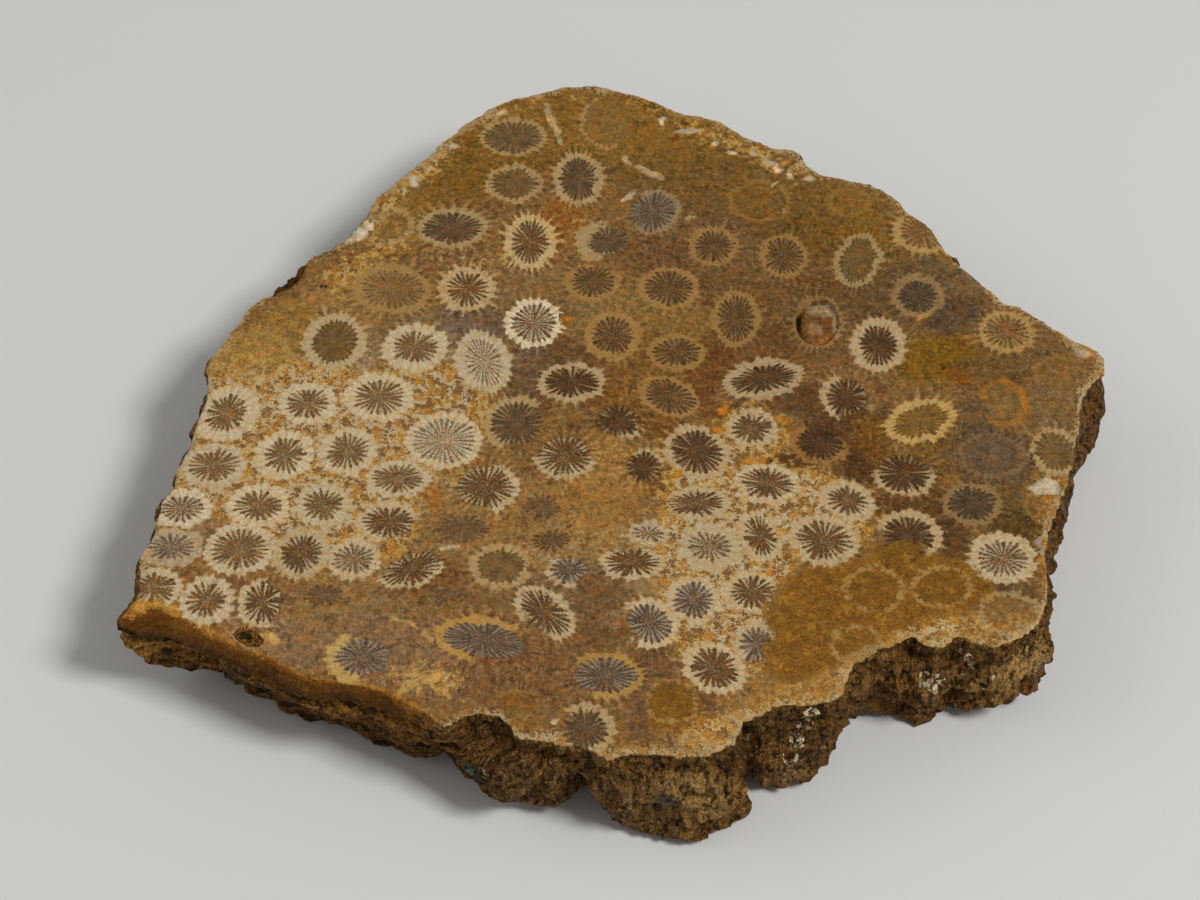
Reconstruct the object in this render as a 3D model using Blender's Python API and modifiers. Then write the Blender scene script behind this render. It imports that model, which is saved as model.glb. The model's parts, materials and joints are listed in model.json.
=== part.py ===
"""Fossil coral slab: a flat slice of agatised coral, its upper face cut and polished, its rim and
underside left as broken rock. It lies flat, +Z up, with the centre of its footprint at the origin."""

import math

import bmesh
import bpy
import numpy as np
from mathutils import Matrix, Vector, noise

MM = 0.001

# ---- driving dimensions ----
THICKNESS = 18.0 * MM  # resting plane to polished face
BLANK_GRAIN = 1.0 * MM  # cell size of the rough blank
ROUGHNESS = 1.5 * MM  # depth of the broken rock's lumps on the sides
LAYERING = 0.55 * MM  # how far the rock's thin layers stand in and out on the front
UNDER_RELIEF = 1.6 * MM  # depth of the hollows in the underside
EDGE_REACH = 13.0 * MM  # how far in from the rim the sides' lean dies away
TRIANGLES = 7600  # faceting of the stone before its hollows are cut
SEED = 41.7

# The rim of the polished face, in mm, clockwise from the left-hand tip.
RIM = [
    (-69.6, -41), (-68.5, -37), (-67.6, -33.5), (-67.5, -30.5), (-66, -26), (-65.5, -21),
    (-64.3, -16.5), (-62.8, -12), (-61.4, -7.5), (-61, -3), (-60.6, -0.5), (-61.5, 3.5), (-61, 6.5),
    (-59.6, 8.2), (-58.3, 12), (-56, 16), (-53, 20), (-50.5, 24), (-46.5, 27.5), (-43, 30.3),
    (-40.5, 33.3), (-39.2, 37), (-38.2, 39.5), (-35.8, 41.3), (-34, 44.3), (-31.2, 47.6),
    (-29, 50.6), (-26.5, 53.5), (-24, 56.3), (-21, 58.8), (-17, 61.2), (-13.5, 62.6), (-11, 63.5),
    (-8, 63.8), (-4, 63.4), (-0.4, 62.5), (3.5, 60.8), (6.2, 58.9), (10, 57.3), (14, 56),
    (17, 53.2), (20.5, 51.1), (23, 49.8), (25, 50.3), (27, 48.5), (28.5, 46), (31, 43.8),
    (35.5, 42.5), (38.5, 40.8), (41.3, 38.3), (42.6, 36), (45.7, 32.4), (47, 29.3), (50.5, 24),
    (54, 20), (55.8, 17.2), (57.4, 17.2), (60, 14.7), (63, 12.3), (64.8, 10.3), (66.8, 9.2),
    (68.6, 7), (69.6, 5), (68.3, 2.8), (66.3, 1), (64.7, -2.5), (63.8, -6), (63, -11), (62, -15),
    (60.8, -19), (60, -22), (58.3, -25), (57.3, -29), (57, -33), (56.6, -37), (56.1, -40),
    (54, -43), (51, -44.6), (46, -44.3), (44.3, -43.8), (42.5, -45.2), (39.5, -44.8), (37.4, -43.8),
    (35.8, -45.3), (33.8, -45.5), (31, -48), (29.3, -49.8), (28.2, -52.8), (25.3, -54.8), (19.3, -54.8),
    (17.4, -56.8), (15.6, -57.6), (14.4, -60.8), (11, -62.3), (8, -63.6), (4.5, -63.3), (-1, -63),
    (-3.2, -63.7), (-6, -62.4), (-11, -60.9), (-15, -60.2), (-19.5, -59.8), (-23.7, -58.5),
    (-26.5, -57.3), (-29.5, -55.8), (-32.5, -53.9), (-36, -53.1), (-40, -51.9), (-43.5, -50.9),
    (-46.5, -49.3), (-50, -47.5), (-53.5, -46.1), (-56.2, -44.2), (-59.5, -42.5), (-62.5, -41.3),
    (-66, -41.3),
]

# How the side leans and the underside lifts at places along the rim:
# x, y of the place; how far the foot of the side stands in (negative: out); lift of the lower edge.
SIDES = [
    (-69.6, -41, 1.0, 10.0), (-65, -41.3, 1.5, 3.2), (-60, -42.3, 2.0, 2.4), (-55, -45, 2.4, 1.8),
    (-45, -50, 2.4, 1.3), (-37, -53, 2.4, 1.6), (-31, -55, 1.6, 1.8), (-26, -57.5, 3.6, 4.2),
    (-22.5, -59, 0.6, 6.0), (-18, -60, -1.0, 4.0), (-13, -60.5, 0.2, 1.8), (-10, -61, 1.0, 2.2),
    (-7, -62, 3.6, 4.0), (-3.5, -63.6, 2.2, 1.6),
    (0, -63, -0.2, 0.2), (4.5, -63.3, -1.0, 0.0), (10, -62.6, -1.6, 0.0), (14, -61, -1.8, 0.0),
    (16, -57.5, 0.4, 1.2), (19.5, -54.8, -2.4, 0.0), (23.5, -54.8, -0.6, 0.3), (27, -53.8, 0.2, 0.3),
    (30, -49, 2.3, 2.0), (34, -45.5, 0.4, 0.5), (38.5, -44.4, -2.2, 0.0), (43, -45, 0.0, 0.5),
    (47, -44.4, 0.2, 1.8), (51, -44.5, -0.6, 5.0), (55.5, -41, -1.2, 3.4), (57, -33, -1.6, 1.6),
    (58.5, -25, -1.0, 1.0), (62, -15, 0.8, 0.8), (64.5, -4, -0.4, 1.0), (69, 4.5, -0.6, 1.8),
    (63, 12, 1.5, 1.5), (53, 21, 2.5, 2.0), (43, 36, 1.5, 1.0), (31, 44, 2.0, 1.5),
    (22, 50, 3.0, 2.5), (8, 58, 1.5, 1.2), (-8, 63.8, 2.5, 2.0), (-24, 56, 1.5, 1.2),
    (-34, 44, 2.5, 2.0), (-42, 31, 0.5, 1.0), (-51, 23, -0.8, 0.8), (-58, 12, 1.0, 1.5),
    (-61, 0, 2.0, 2.0), (-64, -16, 1.5, 3.0), (-67.5, -30, 2.0, 5.0),
]

# Layers that stand out from the undercut left-hand front: height, how far they stand out, half depth.
LEDGES = [(16.0, 0.9, 1.5), (11.0, 1.3, 1.0), (8.2, 0.9, 0.6), (6.2, 0.8, 0.6)]
LEDGE_SPAN = (-70, -25)  # along x, on the front only

# The polished edge is worn round above that undercut: how far in, and how far down it starts.
WORN_EDGE = (1.3 * MM, 2.6 * MM)

# Swellings and clefts of the side: x, y, height; reach along the side, reach up and down; how far out.
SWELLINGS = [
    (-15.5, -60.5, 7.0, 5.0, 4.5, 2.0), (-14.0, -60.5, 13.2, 5.0, 0.9, -1.5), (-20.0, -60, 3.5, 3.0, 2.5, 0.8),
    (4.0, -63.3, 8.0, 6.0, 6.0, 0.9), (11.5, -62, 5.0, 3.0, 4.0, 0.8), (-3.0, -63.4, 13.4, 4.5, 0.8, -1.2),
    (12.5, -61.8, 11.0, 2.5, 0.8, -1.0), (20.5, -55, 4.0, 3.0, 3.0, 1.2), (24.0, -55, 12.8, 4.5, 1.5, -1.2),
    (32.5, -47, 12.0, 3.5, 1.6, -1.3), (38.8, -44.6, 4.5, 3.5, 3.5, 1.1), (48.5, -44.6, 11.0, 4.0, 3.0, 0.9),
    (56.0, -43, 9.0, 2.8, 5.0, 1.3), (41.0, -45.2, 14.5, 2.5, 1.0, -1.0), (68.5, 2, 10.0, 4.0, 5.0, 0.9),
]

# Creases that run down the side: x, y at the rim, depth, half width, height of the upper end.
CREASES = [
    (16.2, -57.8, 3.0, 1.3, 17.0), (-7.6, -62.2, 2.2, 1.6, 9.0), (30.2, -48.8, 1.6, 1.6, 18.0),
    (53.4, -43.9, 1.8, 1.1, 15.0), (44.2, -44.0, 1.6, 1.2, 18.0), (37.2, -44.0, 1.9, 1.2, 18.0),
    (-33.5, -53.8, 1.0, 1.2, 12.0), (24.0, 50.0, 1.6, 1.6, 14.0), (-62.0, 4.8, 0.9, 1.2, 14.0),
]

# Places where the underside comes down to the resting plane: x, y, radius.
FEET = [(0, 0, 14), (-42, -24, 13), (42, -26, 13), (4, -50, 10), (36, 20, 13), (-30, 28, 13), (-4, 48, 10)]

# Chips broken from the edge of the polished face: centre x, y, z; half sizes; turn about Z.
CHIPS = [
    (-52.5, 22.6, 19.6, 7.0, 3.3, 3.4, 42), (-45.4, 29.4, 19.0, 3.6, 1.9, 2.1, 38),
    (-24.2, 57.8, 18.9, 5.0, 1.6, 1.6, 38), (24.5, 51.6, 18.6, 4.5, 1.9, 1.7, -25),
    (13.5, 57.8, 18.6, 4.2, 1.9, 1.5, -24), (67.7, 0.2, 18.8, 4.2, 1.9, 2.3, 62),
    (55.3, -43.8, 18.8, 3.4, 1.6, 2.2, 48), (51.5, 24.4, 18.5, 4.2, 1.5, 1.2, -50),
    (-66.9, -42.6, 18.7, 4.4, 1.7, 1.9, 0), (-45.5, -51.2, 18.6, 6.0, 1.3, 1.5, -27),
    (29.6, -51.6, 18.8, 2.6, 1.5, 1.8, 65), (-61.8, 2.0, 18.6, 1.2, 2.8, 1.5, 0),
]

# Hollows in the polished face: centre x, y; half length, half width; depth; turn.
HOLLOWS = [
    (-51.6, -43.6, 2.6, 1.35, 1.5, -28), (6.9, 52.1, 1.0, 0.6, 0.9, -10), (9.0, 55.3, 0.9, 0.7, 0.8, 0),
    (-45.2, 20.9, 0.6, 0.45, 0.9, -30), (-45.0, 23.2, 0.6, 0.5, 0.5, 0), (-41.8, 25.9, 0.6, 0.5, 0.9, 0),
    (-57.4, 10.6, 0.7, 0.45, 0.8, 20), (-56.6, 9.7, 0.6, 0.5, 0.6, 0), (-59.0, 6.7, 0.6, 0.4, 0.7, 20),
    (51.1, -0.9, 0.6, 0.5, 0.8, 0), (55.9, -3.2, 2.2, 0.5, 0.6, 60), (63.3, -5.0, 0.6, 0.45, 0.6, 0),
    (52.2, 19.6, 0.8, 0.6, 0.6, -60), (34.6, 39.5, 0.8, 0.5, 0.6, -40), (29.0, 13.4, 0.7, 1.4, 0.7, -10),
]

# The cup that has sunk below the polish: centre x, y; half length, half width; trench and dish depth; turn.
SUNK_CUP = (27.6, 14.0, 4.15, 3.1, 0.7, 0.45, 82)

# The broken-out cup at the front edge: centre x, y, z and half sizes.
SCOOP = (-20.0, -60.4, 18.0, 4.7, 4.3, 5.2)


def fresh_scene():
    """Clears the scene and returns the collections for the stone and for its cutters."""
    for obj in list(bpy.data.objects):
        bpy.data.objects.remove(obj, do_unlink=True)
    stone = bpy.data.collections.new("fossil_coral_slab")
    cutters = bpy.data.collections.new("cutters")
    for group in (stone, cutters):
        bpy.context.scene.collection.children.link(group)
    cutters.hide_render = True
    return stone, cutters


def make_active(obj):
    bpy.ops.object.select_all(action="DESELECT")
    obj.select_set(True)
    bpy.context.view_layer.objects.active = obj


def apply_modifier(obj, kind, **settings):
    """Adds a modifier of this kind, with these settings, and applies it."""
    modifier = obj.modifiers.new(kind.title(), kind)
    for name, value in settings.items():
        setattr(modifier, name, value)
    make_active(obj)
    bpy.ops.object.modifier_apply(modifier=modifier.name)


def blank(stone):
    """A prism on the rim's outline, taller than the slab, divided into small even cells."""
    curve = bpy.data.curves.new("coral_slab", "CURVE")
    curve.dimensions = "2D"
    curve.fill_mode = "BOTH"
    curve.resolution_u = 4
    curve.extrude = THICKNESS / 2 + 3 * MM
    spline = curve.splines.new("BEZIER")
    spline.bezier_points.add(len(RIM) - 1)
    for point, (x, y) in zip(spline.bezier_points, RIM):
        point.co = (x * MM, y * MM, 0)
        point.handle_left_type = point.handle_right_type = "AUTO"
    spline.use_cyclic_u = True
    obj = bpy.data.objects.new("coral_slab", curve)
    obj.location.z = THICKNESS / 2
    stone.objects.link(obj)
    make_active(obj)
    bpy.ops.object.convert(target="MESH")
    bpy.ops.object.transform_apply(location=True, rotation=True, scale=True)
    apply_modifier(obj, "REMESH", mode="VOXEL", voxel_size=BLANK_GRAIN)
    return obj


def rim_samples(step=0.6 * MM):
    """Points evenly along the rim with the outward direction at each."""
    corners = np.array(RIM + RIM[:1], float) * MM
    lengths = np.linalg.norm(np.diff(corners, axis=0), axis=1)
    along = np.concatenate([[0], np.cumsum(lengths)])
    at = np.arange(0, along[-1], step)
    points = np.column_stack([np.interp(at, along, corners[:, k]) for k in (0, 1)])
    ahead, behind = np.roll(points, -4, axis=0), np.roll(points, 4, axis=0)
    run = ahead - behind
    run /= np.linalg.norm(run, axis=1)[:, None]
    return points, np.column_stack([-run[:, 1], run[:, 0]])


def nearest_rim(places, points):
    """For each place, the index of the nearest rim point and the distance to it."""
    index = np.empty(len(places), int)
    away = np.empty(len(places))
    for start in range(0, len(places), 4000):
        block = places[start : start + 4000, None, :] - points[None, :, :]
        square = (block**2).sum(axis=2)
        best = square.argmin(axis=1)
        index[start : start + 4000] = best
        away[start : start + 4000] = np.sqrt(square[np.arange(len(best)), best])
    return index, away


def side_profile(points):
    """The lean and the lift at every rim point, smooth between the places of SIDES."""
    total = np.arange(len(points))
    places = np.array([side[:2] for side in SIDES], float) * MM
    index, _ = nearest_rim(places, points)
    order = np.argsort(index)
    values = np.array([side[2:] for side in SIDES], float)[order] * MM
    at = index[order]
    smooth = []
    for k in (0, 1):
        line = np.interp(total, at, values[:, k], period=len(points))
        kernel = np.hanning(9)
        kernel /= kernel.sum()
        wrapped = np.concatenate([line[-4:], line, line[:4]])
        smooth.append(np.convolve(wrapped, kernel, "valid"))
    return smooth


def rock_noise(place, size):
    """Lumps and flat breaks with sharp valleys between them, about -1 to 1, for features this size."""
    at = Vector(place) / size + Vector((SEED, -SEED, SEED / 3))
    near, centres = noise.voronoi(at)
    tilt = noise.cell_vector(centres[0] * 9.7) - Vector((0.5, 0.5, 0.5))
    broad = noise.fractal(at * 0.6, 0.9, 2.1, 4)
    return (0.5 - near[0]) * 0.9 + (at - centres[0]).dot(tilt) * 1.5 + broad * 0.7


def ease(value):
    value = np.clip(value, 0, 1)
    return value * value * (3 - 2 * value)


def break_sides(obj):
    """Leans, undercuts and roughens the sides, and gives the underside its hollows and feet."""
    mesh = obj.data
    count = len(mesh.vertices)
    co = np.empty(count * 3)
    mesh.vertices.foreach_get("co", co)
    co = co.reshape(-1, 3)
    points, outward = rim_samples()
    index, away = nearest_rim(co[:, :2], points)
    lean, lift = side_profile(points)
    normal = outward[index]
    height = co[:, 2].copy()
    depth = np.clip((THICKNESS - height) / THICKNESS, 0, 1.2)
    reach = 1 - ease(away / EDGE_REACH)
    wall = 1 - ease(away / (2.5 * MM))

    # The lean is a curve: nearly upright below the polished edge, turning in towards the foot.
    inset = lean[index] * (0.35 * depth + 0.65 * depth**2)

    # Ledges of the undercut front, left of the lobe.
    front = co[:, 1] < -30 * MM
    span = ease((co[:, 0] / MM - LEDGE_SPAN[0] + 2) / 3) * ease((LEDGE_SPAN[1] - co[:, 0] / MM) / 3)
    wobble = np.array([noise.noise(Vector((x * 55, y * 55, 3.0))) for x, y, _ in co])
    for level, out, half in LEDGES:
        band = np.exp(-(((height / MM - level + 1.1 * wobble) / half) ** 2))
        inset -= out * MM * band * span * front
    inset += 0.7 * MM * ease(depth * 4) * span * front

    worn_in, worn_down = WORN_EDGE
    inset += worn_in * ease((height - THICKNESS + worn_down) / worn_down) ** 2 * span * front

    # Swellings, clefts and creases of the side.
    for x, y, z, along, tall, out in SWELLINGS:
        flat = np.hypot(co[:, 0] / MM - x, co[:, 1] / MM - y) / along
        inset -= out * MM * np.exp(-(flat**2) - ((height / MM - z) / tall) ** 2)
    for x, y, deep, half, top in CREASES:
        across = np.hypot(co[:, 0] / MM - x, co[:, 1] / MM - y)
        nearby = np.exp(-((across / half) ** 2)) * ease((top + 1 - height / MM) / 2.5)
        inset += deep * MM * nearby * 0.75

    fade = ease((THICKNESS - height) / (2.2 * MM))
    rough = np.array([rock_noise(p, 6.5 * MM) for p in co])
    fine = np.array([rock_noise(p, 2.8 * MM) for p in co])
    rough = rough * (0.2 + 0.8 * fade) + 0.45 * fine * (0.35 + 0.65 * fade)
    layer = np.array([noise.noise(Vector((x * 70, y * 70, z * 620 + 9.0))) for x, y, z in co])
    layer = np.tanh(layer * 4) * LAYERING * fade * (co[:, 1] < -20 * MM)
    shift = -inset * reach + (ROUGHNESS * rough + layer) * wall
    co[:, 0] += normal[:, 0] * shift
    co[:, 1] += normal[:, 1] * shift

    # The underside: lifted towards the rim where it curls up, hollow between the feet.
    hollow = 0.45 + 0.75 * np.array([rock_noise((x, y, 0.02), 13 * MM) for x, y, _ in co])
    grain = np.array([rock_noise((x, y, 0.05), 4.2 * MM) for x, y, _ in co])
    under = UNDER_RELIEF * (np.clip(hollow, -0.2, 1.4) + 0.25 * grain)
    for x, y, radius in FEET:
        near = np.hypot(co[:, 0] / MM - x, co[:, 1] / MM - y) / radius
        under -= 1.8 * MM * (1 - ease(near))
    under = np.maximum(under, 0)
    under += lift[index] * (1 - ease(away / (1.5 * EDGE_REACH)))
    low = height.min()
    share = np.clip((THICKNESS - height) / (THICKNESS - low), 0, 1)
    co[:, 2] = np.where(height < THICKNESS, THICKNESS - share * (THICKNESS - under), height)
    co[:, 2] = np.maximum(co[:, 2], 0)
    mesh.vertices.foreach_set("co", co.ravel())
    mesh.update()


def cut_flat_top(obj):
    """Saws the stone off at the polished face."""
    form = bmesh.new()
    form.from_mesh(obj.data)
    cut = bmesh.ops.bisect_plane(
        form, geom=form.verts[:] + form.edges[:] + form.faces[:], dist=1e-6,
        plane_co=(0, 0, THICKNESS), plane_no=(0, 0, 1), clear_outer=True,
    )
    edges = [item for item in cut["geom_cut"] if isinstance(item, bmesh.types.BMEdge)]
    bmesh.ops.edgeloop_fill(form, edges=edges)
    bmesh.ops.recalc_face_normals(form, faces=form.faces[:])
    form.to_mesh(obj.data)
    form.free()


def ellipsoids(name, cutters, places, segments):
    """A cutter of one or more balls, each with its centre, its half sizes and its turn about Z, in mm."""
    form = bmesh.new()
    for centre, half, turn in places:
        place = Matrix.Translation(Vector(centre) * MM) @ Matrix.Rotation(math.radians(turn), 4, "Z")
        size = Matrix.Diagonal((*(Vector(half) * MM), 1))
        bmesh.ops.create_uvsphere(
            form, u_segments=segments, v_segments=segments // 2, radius=1, matrix=place @ size
        )
    mesh = bpy.data.meshes.new(name)
    form.to_mesh(mesh)
    form.free()
    obj = bpy.data.objects.new(name, mesh)
    cutters.objects.link(obj)
    obj.display_type = "WIRE"
    return obj


def ring(name, cutters, centre, half, thick, turn):
    """A cutter: an oval ring that leaves a trench."""
    bpy.ops.mesh.primitive_torus_add(
        major_radius=1.0, minor_radius=thick / half[0], major_segments=36, minor_segments=8,
        location=[value * MM for value in centre],
    )
    obj = bpy.context.object
    obj.name = name
    obj.scale = (half[0] * MM, half[1] * MM, half[0] * MM)
    obj.rotation_euler.z = math.radians(turn)
    for group in list(obj.users_collection):
        group.objects.unlink(obj)
    cutters.objects.link(obj)
    obj.display_type = "WIRE"
    return obj


def cut(obj, cutter):
    apply_modifier(obj, "BOOLEAN", operation="DIFFERENCE", solver="EXACT", object=cutter)


def cut_hollows(obj, cutters):
    """The chips at the edge, the broken-out cup, the sunk cup and the small hollows."""
    chips = [((x, y, z), (a, b, c), turn) for x, y, z, a, b, c, turn in CHIPS]
    cut(obj, ellipsoids("chips", cutters, chips, 16))
    cut(obj, ellipsoids("broken_cup", cutters, [(SCOOP[:3], SCOOP[3:], 8)], 24))
    x, y, a, b, trench, dish, turn = SUNK_CUP
    top = THICKNESS / MM
    bowl = [((x, y, top + 0.9), (a * 0.95, b * 0.95, 0.9 + dish), turn)]
    cut(obj, ellipsoids("sunk_dish", cutters, bowl, 28))
    cut(obj, ring("sunk_trench", cutters, (x, y, top), (a * 0.86, b * 0.86), trench, turn))
    small = [((x, y, top + 0.1), (a, b, deep + 0.1), turn) for x, y, a, b, deep, turn in HOLLOWS]
    cut(obj, ellipsoids("hollows", cutters, small, 12))


def reduce_facets(obj):
    """Thins the facets, most where the rock is flat, and sets the face dead level again."""
    apply_modifier(obj, "TRIANGULATE")
    ratio = TRIANGLES / len(obj.data.polygons)
    apply_modifier(obj, "DECIMATE", decimate_type="COLLAPSE", ratio=ratio)
    for vertex in obj.data.vertices:
        if vertex.co.z > THICKNESS - 0.04 * MM:
            vertex.co.z = THICKNESS
        elif vertex.co.z < 0.02 * MM:
            vertex.co.z = 0


def stone_material():
    material = bpy.data.materials.new("agatised_coral")
    material.use_nodes = True
    shader = material.node_tree.nodes["Principled BSDF"]
    shader.inputs["Base Color"].default_value = (0.42, 0.27, 0.12, 1)
    shader.inputs["Roughness"].default_value = 0.45
    return material


def finish(obj):
    """Centres the footprint on the origin and gives the stone its material."""
    apply_modifier(obj, "TRIANGULATE")
    mesh = obj.data
    co = np.empty(len(mesh.vertices) * 3)
    mesh.vertices.foreach_get("co", co)
    co = co.reshape(-1, 3)
    middle = (co.min(axis=0) + co.max(axis=0)) / 2
    co[:, 0] -= middle[0]
    co[:, 1] -= middle[1]
    mesh.vertices.foreach_set("co", co.ravel())
    mesh.update()
    mesh.materials.clear()
    mesh.materials.append(stone_material())
    make_active(obj)
    bpy.ops.object.shade_smooth_by_angle(angle=math.radians(32))
    for face in mesh.polygons:
        if abs(face.normal.z) > 0.9999:
            face.use_smooth = False
    return middle


def main():
    stone, cutters = fresh_scene()
    obj = blank(stone)
    break_sides(obj)
    cut_flat_top(obj)
    reduce_facets(obj)
    cut_hollows(obj, cutters)
    middle = finish(obj)
    span = [round(value / MM, 2) for value in obj.dimensions]
    print("coral_slab", span, "mm,", len(obj.data.polygons), "triangles, moved", middle / MM)


main()
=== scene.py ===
"""Fossil coral slab, dressed for a studio picture.

The slab is one piece of stone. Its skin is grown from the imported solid, so it keeps the
solid's outline, hollows and flat polished face, and gets the finer break of the rock on
its sides and underside. The corallites of the polished face are laid out one by one on a
chart in millimetres, and the stone's material draws each of them: its cup, its septa, its
wall and its costae.
"""

import json
import math

import bpy
import numpy as np
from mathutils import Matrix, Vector, noise
from mathutils.kdtree import KDTree

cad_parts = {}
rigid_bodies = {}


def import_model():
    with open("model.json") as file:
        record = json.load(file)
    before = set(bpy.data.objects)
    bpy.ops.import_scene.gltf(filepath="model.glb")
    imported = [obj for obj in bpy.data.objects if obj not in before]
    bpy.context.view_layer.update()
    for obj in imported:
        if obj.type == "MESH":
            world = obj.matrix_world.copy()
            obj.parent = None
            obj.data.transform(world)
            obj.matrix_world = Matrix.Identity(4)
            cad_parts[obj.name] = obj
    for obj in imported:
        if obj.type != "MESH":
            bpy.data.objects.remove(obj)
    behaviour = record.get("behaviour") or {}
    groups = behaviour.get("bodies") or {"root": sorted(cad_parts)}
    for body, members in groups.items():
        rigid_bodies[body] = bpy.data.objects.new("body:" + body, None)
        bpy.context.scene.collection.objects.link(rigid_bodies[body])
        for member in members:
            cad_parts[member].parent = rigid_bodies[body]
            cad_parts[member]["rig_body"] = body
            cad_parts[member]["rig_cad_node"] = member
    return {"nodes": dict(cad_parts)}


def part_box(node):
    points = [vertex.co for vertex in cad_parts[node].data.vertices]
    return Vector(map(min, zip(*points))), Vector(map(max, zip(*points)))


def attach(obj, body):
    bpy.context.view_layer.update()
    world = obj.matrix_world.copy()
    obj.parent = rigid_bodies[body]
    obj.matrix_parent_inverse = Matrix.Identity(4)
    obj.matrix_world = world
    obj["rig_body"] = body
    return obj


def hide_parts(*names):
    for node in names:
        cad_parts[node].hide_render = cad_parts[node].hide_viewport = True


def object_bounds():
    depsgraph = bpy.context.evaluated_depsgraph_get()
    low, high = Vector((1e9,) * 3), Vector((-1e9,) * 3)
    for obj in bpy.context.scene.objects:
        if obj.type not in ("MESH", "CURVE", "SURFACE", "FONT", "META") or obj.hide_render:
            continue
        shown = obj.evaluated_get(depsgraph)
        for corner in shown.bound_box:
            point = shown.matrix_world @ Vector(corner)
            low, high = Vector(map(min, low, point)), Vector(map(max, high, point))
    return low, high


bl_info = {
    "name": "Fossil Coral Slab",
    "version": (1, 0, 0),
    "blender": (4, 5, 0),
    "location": "View3D > Sidebar > Coral Slab",
    "description": "Dresses a packed fossil coral slab as polished and broken stone",
    "category": "Object",
}

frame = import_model()
CAD_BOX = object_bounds()
NODE = "coral_slab"
STONE = "coral_slab_stone"

MM = 0.001
FACE_HEIGHT = round(CAD_BOX[1][2] / MM, 3)  # the polished face, in mm
CHART_ZERO = (0.181, 0.927)  # where the chart's zero lies on the slab, in mm
FACE_BAND = 0.06  # a point this near the polished face belongs to it, in mm
SEPTUM_SPACING = 0.85  # between septa along a cup's edge, in mm

# The cup that has sunk: middle x and y on the chart, half length, half width, turn.
SUNK = (27.7, 13.8, 4.7, 3.2, 84)

# Colours of the stone, as linear reflectances.
CHALK = (0.62, 0.52, 0.35)
CREAM = (0.54, 0.435, 0.268)
BUFF = (0.50, 0.355, 0.165)
YELLOW = (0.54, 0.34, 0.10)
TAN = (0.38, 0.194, 0.045)
GOLD = (0.3, 0.153, 0.032)
OCHRE = (0.24, 0.104, 0.013)
ORANGE = (0.47, 0.19, 0.022)
RUST = (0.25, 0.086, 0.013)
UMBER = (0.115, 0.056, 0.019)
BROWN = (0.19, 0.095, 0.032)
MAUVE = (0.27, 0.149, 0.062)
GREY = (0.17, 0.108, 0.057)
PEARL = (0.36, 0.30, 0.235)
BLACK = (0.03, 0.018, 0.008)
DEEP = (0.15, 0.07, 0.0225)
PLAIN_GROUND = (0.235, 0.127, 0.036)  # between the cups, where no patch lies
PLAIN_SIDE = (0.15, 0.072, 0.018)

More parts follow.
